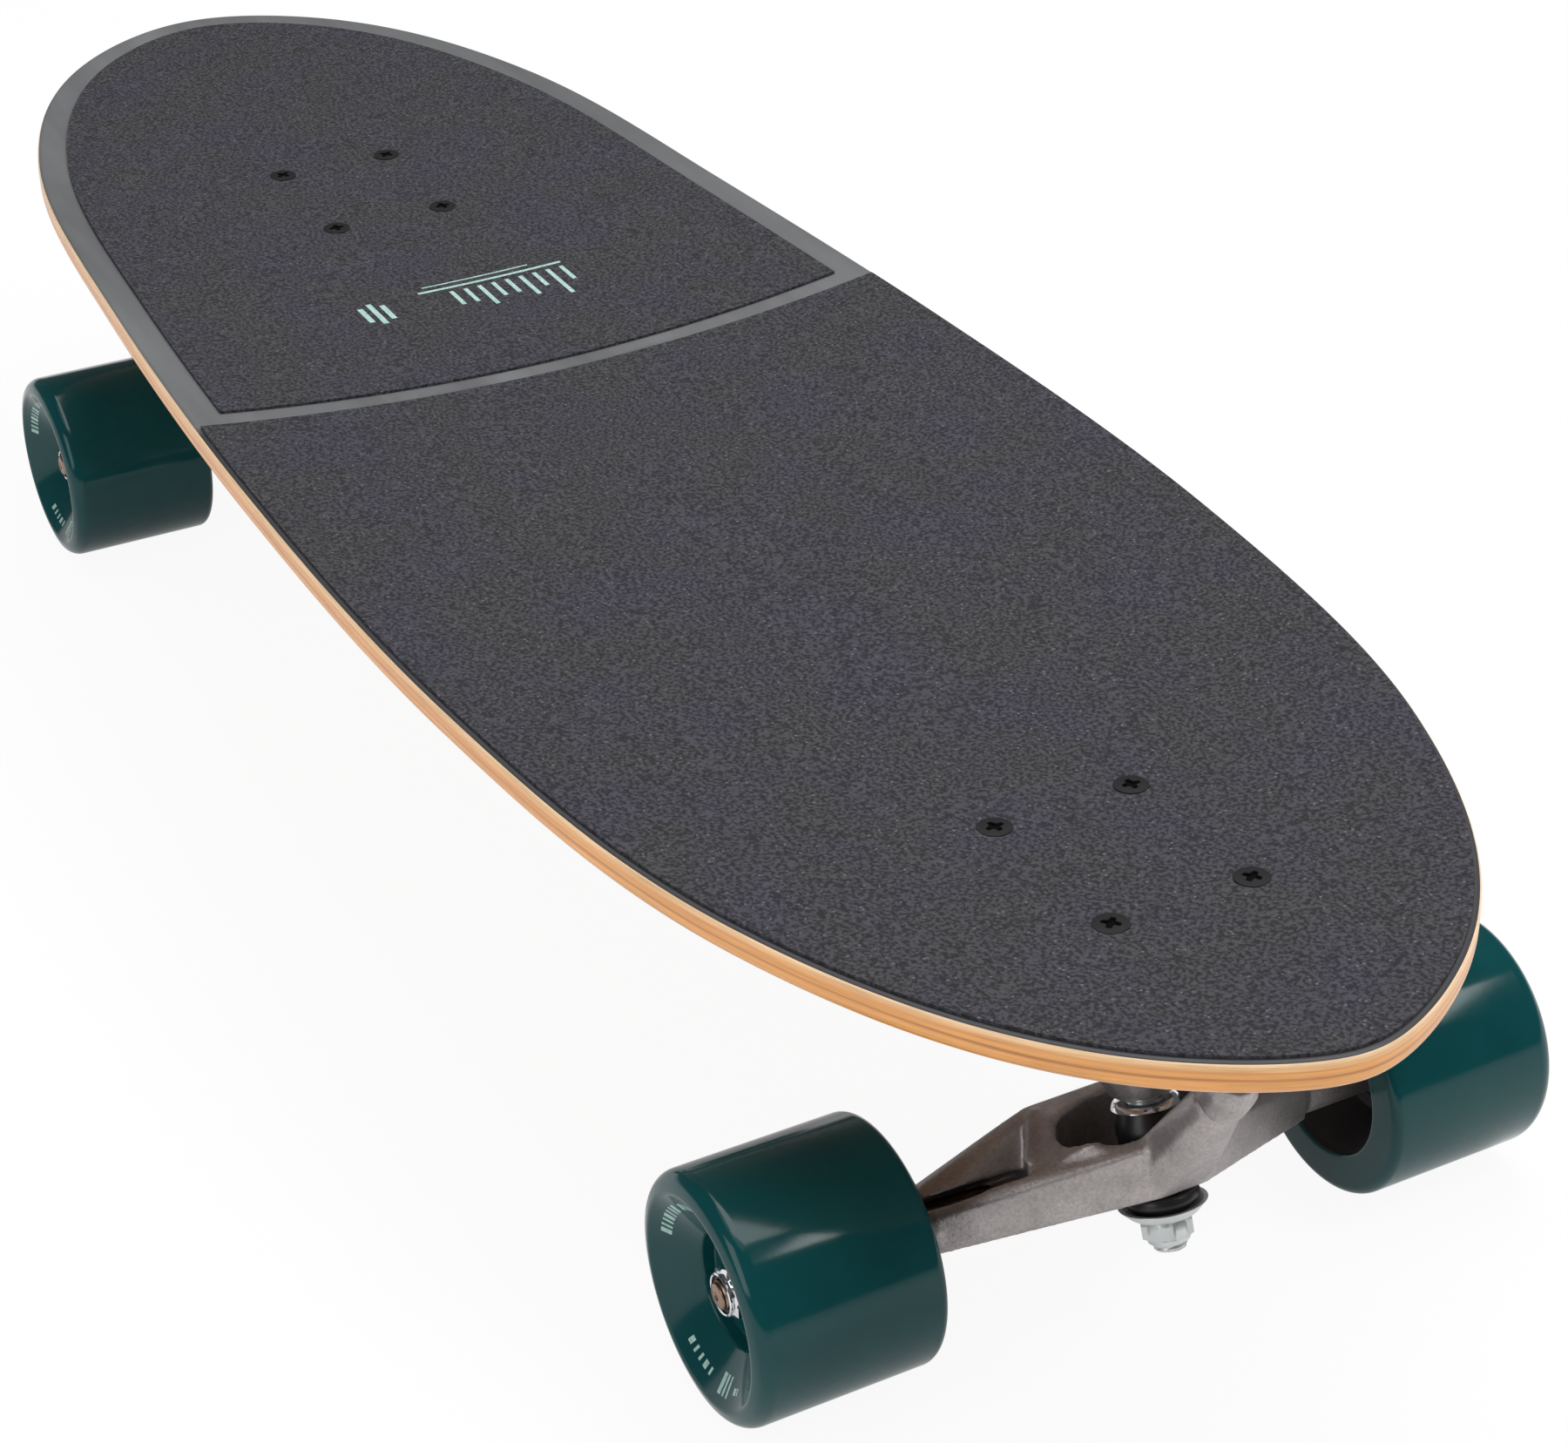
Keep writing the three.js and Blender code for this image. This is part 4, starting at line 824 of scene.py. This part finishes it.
def makeKingpin(name, pin, bossSeat):
    p, s = pinShape, stackShape
    radius = p["radius"]
    headTop = bossSeat + s["bossWall"] + s["headHeight"]
    headBottom = headTop - s["headHeight"]
    threadTop = s["roadBushingRise"]
    tip = -s["roadWasherDepth"] - seatGap - s["nutHeight"] - p["tip"]
    reliefTop = threadTop - p["threadRelief"]
    head = [[0, headTop], [p["crown"], headTop], [p["headRadius"], headTop - p["bevel"]],
            [p["headRadius"], headTop - p["headWall"]], [p["headFoot"], headBottom], [radius, headBottom],
            [radius, threadTop], [radius - p["threadFoot"], reliefTop], [0, reliefTop]]
    endTip = tip - p["endStep"]
    end = [[0, endTip], [radius - p["chamfer"], endTip], [radius - p["chamferTop"], tip]]
    thread = threaded(radius, tip, threadTop, p["pitch"], p["threadDepth"], pin, p["threadSides"])
    surfaces = [hexTurned(head, pin, p["headFlats"]), thread, turned(end, pin, p["threadSides"])]
    makePiece(f"{name}_kingpin_shaft", surfaces, [zinc], f"{name}_kingpin")
    nut = lockNut(pin.flipped(), s["roadWasherDepth"] + seatGap, s["nutHeight"], p["nutFlats"], radius)
    makePiece(f"{name}_kingpin_lock_nut", nut, [zinc, nylonAndShade], f"{name}_kingpin_nut")


def cupWasher(rim, floor, depth):
    # a floor round the hole and a wall that flares up to the rim
    wall, hole, top = stackShape["washerWall"], pinShape["hole"], -cupShape["rimDrop"]
    profile = [[hole, -depth], [floor, -depth], [rim, top], [rim - wall, top], [floor - wall, wall - depth],
        [hole, wall - depth]]
    return softened(profile, cupShape["rounds"], closed=True)


def makeCups(name, pin, washerRim):
    c, s = cupShape, stackShape
    road = cupWasher(c["roadRadius"], c["roadFloor"], s["roadWasherDepth"])
    makePiece(f"{name}_road_cup", [turned(road, pin, closed=True)], [zinc],
        f"{name}_washer_road")
    board = cupWasher(c["boardRadius"], c["boardRadius"] - s["washerWall"], s["boardWasherDepth"])
    makePiece(f"{name}_board_cup", [turned(board, pin.flipped(washerRim), closed=True)], [chrome],
        f"{name}_washer_board")


def makeCushions(name, pin, webTop):
    # the road cushion fills its cup, the board cushion has a waist and a neck that enters its cup
    c, s, hole, wall = cushionShape, stackShape, pinShape["hole"], stackShape["washerWall"]
    bottom, rise = wall + c["gap"] - s["roadWasherDepth"], s["roadBushingRise"]
    low = cupShape["roadFloor"] - wall - c["gap"]
    wide = cupShape["roadRadius"] - wall - c["roadGap"]
    road = softened([[hole, bottom], [low, bottom], [wide, 0], [wide, rise / 2], [c["roadTop"], rise],
        [hole, rise]], c["roadRounds"], c["steps"], closed=True)
    bottom, height = webTop + s["bushingGap"], s["boardBushing"]
    end = bottom + height + s["boardWasherDepth"] - wall - c["gap"]
    neck = cupShape["boardRadius"] - wall - c["neckGap"]
    board = softened([[hole, bottom], [c["radius"], bottom], [c["radius"], bottom + height / 3],
        [c["waist"], bottom + height / 2], [c["radius"], bottom + height * 2 / 3],
        [neck, bottom + height - c["gap"]], [neck - c["gap"], end], [hole, end]],
        c["boardRounds"], c["steps"], closed=True)
    for label, profile in (("road", road), ("board", board)):
        makePiece(f"{name}_{label}_cushion", [turned(profile, pin, closed=True)], [cushionBlack],
            f"{name}_bushing_{label}")


def makeSocket(name, pivot):
    s = socketShape
    floor = s["top"] - s["wall"]
    profile = softened([[0, s["top"]], [0, floor], [s["inner"], floor], [s["inner"], s["mouth"]],
        [s["outer"], s["mouth"]], [s["outer"], s["top"]], [0, s["top"]]], s["rounds"])
    makePiece(f"{name}_pivot_socket", [turned(profile, pivot, s["sides"])], [socketPlastic],
        f"{name}_pivot_cup")


for name, stand in stands.items():
    makeKingpin(name, stand["kingpin"], stand["bossSeat"])
    makeCups(name, stand["kingpin"], stand["washerRim"])
    makeCushions(name, stand["kingpin"], stand["webTop"])
    makeSocket(name, stand["pivot"])
print("kingpin stacks made")


# axles, wheels and what turns on them

wheelShape = dict(
    radius=0.034, width=0.054, outerFace=0.1225, edge=0.0053, dish=0.0093, recess=0.0158, recessFoot=0.0006,
    innerEdge=0.0028, coreRadius=0.022, coreBevel=0.0007, coreDrop=0.002, coreFoot=0.0146, shadeDepthShare=0.75,
    shadeSlack=0.0004, lip=0.0003, bearingInset=0.0132, faceStart=4, edgeSteps=12, steps=7, sides=160,
    outerRounds=[0.0002, 0.0003, 0.0006, 0.0006, 0.0010],
    innerRounds=[0.0012, 0.0006, 0.0008, 0.0003, 0.0002],
)
bearingShape = dict(
    radius=0.011, bore=0.00408, width=0.007, spacing=0.0102, innerRing=0.006, outerRing=0.0092,
    seatGap=0.0002, rounding=0.00028, bevel=0.0001, groove=0.0006, shieldInset=0.0004, shieldRise=0.00015,
    shieldStep=0.0002,
)
axleShape = dict(
    radius=0.00397, halfLength=0.1172, bevel=(0.0008, 0.0005), nutFlats=0.0127, nutHeight=0.0054,
    nutCollar=0.8, washerRadius=0.0064, washer=0.0008, washerGap=0.0002, pitch=0.0011, threadDepth=0.0003,
    threadLength=0.004, tip=0.0003, clearance=0.0003, sides=48, washerSides=64, root=0.0006,
    endBevel=0.0011, dimple=[(0.0012, 0), (0.0009, 0.0006), (0, 0.0008)],
)
# a group is the bars' angle range in degrees, their number, and their inner and outer radius
markShape = dict(
    lift=0.00004, thin=0.00045, thick=0.0008, every=3, rows=5, columns=4, coneEnd=0.03,
    groups=[
        (110, 128, 4, 0.0232, 0.0252), (134, 170, 7, 0.0228, 0.0254), (240, 272, 5, 0.0232, 0.0250),
        (282, 296, 3, 0.0215, 0.0262), (301, 309, 2, 0.0235, 0.0250),
    ],
)
bearingFace = wheelShape["outerFace"] - wheelShape["bearingInset"]


def wheelProfile():
    # bearing seat, straight cone out to the face, quarter circle to the tread, then the cored inner side
    s, b, gap = wheelShape, bearingShape, bearingShape["seatGap"]
    outer, inner = s["width"] / 2, -s["width"] / 2
    tread, edge, innerEdge = s["radius"], s["edge"], s["innerEdge"]
    outerSeat = outer - s["bearingInset"]
    innerSeat = outerSeat - 2 * b["width"] - b["spacing"]
    bore, web = b["radius"] + gap, b["outerRing"]
    bend = np.linspace(0, np.pi / 2, s["edgeSteps"])
    shoulder = np.stack([tread - edge * (1 - np.sin(bend)), outer - edge * (1 - np.cos(bend))], -1)
    innerShoulder = np.stack([tread - innerEdge * (1 - np.cos(bend)),
        inner + innerEdge * (1 - np.sin(bend))], -1)
    outerSide = softened([
        (web, outerSeat - b["width"] - gap), (bore, outerSeat - b["width"] - gap),
        (bore, outerSeat + s["lip"]), (s["recess"] - s["recessFoot"], outerSeat + s["lip"]),
        (s["recess"], outer - s["dish"]), (tread - edge, outer), shoulder[s["faceStart"]],
    ], s["outerRounds"], s["steps"])
    innerSide = softened([
        innerShoulder[-1], (s["coreRadius"] + s["coreBevel"], inner),
        (s["coreRadius"], inner + s["coreDrop"]), (s["coreFoot"], innerSeat - s["lip"]),
        (bore, innerSeat - s["lip"]),
        (bore, innerSeat + b["width"] + gap), (web, innerSeat + b["width"] + gap),
    ], s["innerRounds"], s["steps"])
    whole = np.vstack([outerSide[:-1], shoulder[s["faceStart"]:], innerShoulder[:-1], innerSide])
    # rows deep in the inner recess take finish 1, black, as painted shade in the hollow
    low = whole[:, 1] < inner + s["width"] * s["shadeDepthShare"]
    return whole, (low & (whole[:, 0] < s["coreRadius"] + s["shadeSlack"])).astype(int)


def bearingProfile():
    # outer ring, shield a little below both rings, inner ring
    s = bearingShape
    half = s["width"] / 2
    face = half - s["shieldInset"]
    outer, inner = s["outerRing"], s["innerRing"]
    groove, rise, step = s["groove"], s["shieldRise"], s["shieldStep"]
    points = [
        (s["bore"], -half), (s["radius"], -half), (s["radius"], half), (outer, half),
        (outer - s["bevel"], face), (outer - groove, face + rise), (inner + groove, face + rise),
        (inner + step, face - step), (inner, face - step), (inner - s["bevel"], half), (s["bore"], half),
    ]
    return softened(points, s["rounding"], closed=True)


def wheelMarks(stand, profile):
    # each bar is a patch of the outer face, raised by a print's thickness
    m = markShape
    cone = (profile[:, 1] > wheelShape["width"] / 2 - wheelShape["dish"]) & (profile[:, 0] < m["coneEnd"])
    order = np.argsort(profile[cone, 0])
    radii, heights = profile[cone, 0][order], profile[cone, 1][order]
    surfaces = []
    for start, end, count, low, high in m["groups"]:
        radius = np.linspace(low, high, m["rows"])[:, None]
        height = np.interp(radius, radii, heights) + m["lift"]
        for k in range(count):
            middle = math.radians(start + (end - start) * (k + 0.5) / count)
            halfBar = m["thin"] if k % m["every"] else m["thick"]
            angle = middle + np.linspace(-1, 1, m["columns"])[None, :] * halfBar / radius
            if stand.axis[1] > 0:
                angle = -angle
            surfaces.append(patch(stand.around(radius, angle, height)))
    return surfaces


def crossways(x, y, way):
    # a stand at the axle's height that looks left for way 1 and right for way -1
    return Stand((x, y, wheelRadius), (0, way, 0), (1, 0, 0))


def makeAxle(name, x):
    # a plain shaft with a thread and a dimpled end on each side
    s = axleShape
    radius, tip, (bevelIn, bevelAlong) = s["radius"], s["halfLength"], s["bevel"]
    threadStart = bearingFace - s["threadLength"]
    shaft = [[radius - bevelIn, -threadStart], [radius, -threadStart + bevelAlong],
        [radius, threadStart - bevelAlong], [radius - bevelIn, threadStart]]
    surfaces = [turned(shaft, crossways(x, 0, 1), s["sides"])]
    for way in (1, -1):
        side = crossways(x, 0, way)
        end = [[radius - s["root"], tip - s["tip"]], [radius - s["endBevel"], tip]]
        end += [[reach, tip - drop] for reach, drop in s["dimple"]]
        thread = threaded(radius, threadStart, tip - s["tip"], s["pitch"], s["threadDepth"], side,
            s["sides"])
        surfaces += [thread, turned(end, side, s["sides"])]
    makePiece(f"{name}_axle_shaft", surfaces, [axleSteel], f"{name}_axle",
        f"{name}_hanger_body")


def makeWheel(key, x, way):
    body, hub = f"{key}_wheel_body", wheelShape["outerFace"] - wheelShape["width"] / 2
    outward = crossways(x, way * hub, way)
    profile, shadedCoreRows = wheelProfile()
    # finish 1 paints the inner recess black as shade
    tyre = turned(profile, outward, wheelShape["sides"], closed=True, number=shadedCoreRows)
    makePiece(f"{key}_tyre", [tyre], [urethane, nylonAndShade], f"{key}_wheel", body,
        sharpAngle=50)
    makePiece(f"{key}_tyre_marks", wheelMarks(outward, profile), [mint], body=body)
    b = bearingShape
    for place, offset, direction in (("outer", 0, 1), ("inner", -b["width"] - b["spacing"], -1)):
        seat = crossways(x, way * (bearingFace - b["width"] / 2 + offset), way * direction)
        makePiece(f"{key}_ball_bearing_{place}", [turned(bearingProfile(), seat, closed=True)], [chrome],
            f"{key}_bearing_{place}", body)


def makeAxleEnd(key, body, x, way):
    # the thin washer and the nut that hold the wheel
    s = axleShape
    outside = crossways(x, 0, way)
    hole, rim = s["radius"] + s["washerGap"], s["washerRadius"]
    low = bearingFace + s["clearance"]
    high = low + s["washer"]
    washer = softened([[hole, low], [rim, low], [rim, high], [hole, high]], s["washerGap"], closed=True)
    makePiece(f"{key}_thin_washer", [turned(washer, outside, s["washerSides"], closed=True)], [zinc],
        f"{key}_speed_washer", body)
    nut = lockNut(outside, high + s["clearance"], s["nutHeight"], s["nutFlats"], s["radius"],
        s["nutCollar"])
    makePiece(f"{key}_axle_lock_nut", nut, [chrome, nylonAndShade], f"{key}_axle_nut", body)


for name, stand in stands.items():
    x = stand["axle"].origin[0]
    makeAxle(name, x)
    for label, way in (("left", 1), ("right", -1)):
        makeWheel(f"{name}_{label}", x, way)
        makeAxleEnd(f"{name}_{label}", f"{name}_hanger_body", x, way)
print("axles and wheels made")


# floor, lamps and surroundings

studio = dict(
    floor=0.9, floorReach=8.0, floorGlow=0.93, mirrorGlow=0.45, worldGlow=0.42,
    flagRadius=3.2, flagGlow=0.10, flagLow=0.03, flagHigh=1.15, flagRows=12, flagSides=64,
    lamps=dict(
        overhead=dict(place=(-0.2, 0.35, 1.7), aim=(0, 0, 0.1), size=(1.8, 1.4), power=24),
        key=dict(place=(0.85, 0.65, 1.25), aim=(0.2, 0, 0.1), size=(0.55, 0.55), power=7),
        side=dict(place=(0.6, -1.6, 0.9), aim=(0.1, 0, 0.08), size=(1.2, 0.8), power=7),
    ),
)


def softbox(name, look):
    data = bpy.data.lights.new(name, "AREA")
    data.shape = "RECTANGLE"
    data.size, data.size_y = look["size"]
    data.energy = look["power"]
    toward = np.array(look["aim"]) - np.array(look["place"])
    side = unit(np.cross(toward, (0.31, 0.95, 0)))
    upward = unit(np.cross(side, toward))
    basis = Matrix([list(side), list(upward), list(-unit(toward))]).transposed()
    link(name, data).matrix_world = Matrix.Translation(look["place"]) @ basis.to_4x4()


def makeFloor():
    # white paint that also glows, more for the camera than for mirrors, and keeps its shadows
    reach = studio["floorReach"]
    mesh = bpy.data.meshes.new("floor")
    mesh.from_pydata([(-reach, -reach, 0), (reach, -reach, 0), (reach, reach, 0), (-reach, reach, 0)], [],
        [(0, 1, 2, 3)])
    link("floor", mesh)
    ground = Finish("whiteFloor", (studio["floor"],) * 3, 0.9)
    rays = ground.node("LightPath").outputs
    reflected = ground.math("MAXIMUM", rays["Is Glossy Ray"], rays["Is Transmission Ray"])
    seen = ground.math("MAXIMUM", ground.math("MULTIPLY", rays["Is Camera Ray"], studio["floorGlow"]),
        ground.math("MULTIPLY", reflected, studio["mirrorGlow"]))
    glow = ground.node("Emission", Color=(1, 1, 1, 1), Strength=1.0)
    both = ground.node("MixShader", Fac=seen)
    ground.put(both.inputs[1], ground.shader.outputs[0])
    ground.put(both.inputs[2], glow.outputs[0])
    ground.put(ground.tree.nodes["Material Output"].inputs["Surface"], both.outputs[0])
    mesh.materials.append(ground.material)


def makeSurround():
    # dark cloth round the table that only reflections see: a band of a sphere between two elevations
    rows, sides = studio["flagRows"], studio["flagSides"]
    rise = np.linspace(studio["flagLow"], studio["flagHigh"], rows)[:, None]
    around = roundTurn(sides)[None, :]
    cloth = studio["flagRadius"] * np.stack(np.broadcast_arrays(
        np.cos(rise) * np.cos(around), np.cos(rise) * np.sin(around), np.sin(rise)), -1)
    mesh = bpy.data.meshes.new("darkSurround")
    mesh.from_pydata(cloth.reshape(-1, 3), [], gridFaces(rows, sides, False, True).tolist())
    flag = link("darkSurround", mesh)
    flag.visible_camera = flag.visible_diffuse = flag.visible_shadow = flag.visible_transmission = False
    dark = Finish("darkCloth", (0, 0, 0), 1.0)
    dark.fix("Emission Color", (1, 1, 1, 1))
    dark.fix("Emission Strength", studio["flagGlow"])
    dark.fix("Specular IOR Level", 0.0)
    mesh.materials.append(dark.material)


def makeWorld():
    # full white to the camera and to mirrors, dimmer as a light
    world = bpy.data.worlds.new("studio")
    bpy.context.scene.world = world
    world.use_nodes = True
    sky, background = Nodes(world.node_tree), world.node_tree.nodes["Background"].inputs
    rays = sky.node("LightPath").outputs
    seen = sky.math("MAXIMUM", rays["Is Camera Ray"], rays["Is Glossy Ray"])
    seen = sky.math("MAXIMUM", seen, rays["Is Transmission Ray"])
    sky.put(background["Color"], (1, 1, 1, 1))
    sky.put(background["Strength"], sky.span(seen, studio["worldGlow"], 1.0))


for name, look in studio["lamps"].items():
    softbox(name, look)
makeFloor()
makeSurround()
makeWorld()
bpy.context.scene.view_settings.view_transform = "Standard"
print("studio made")
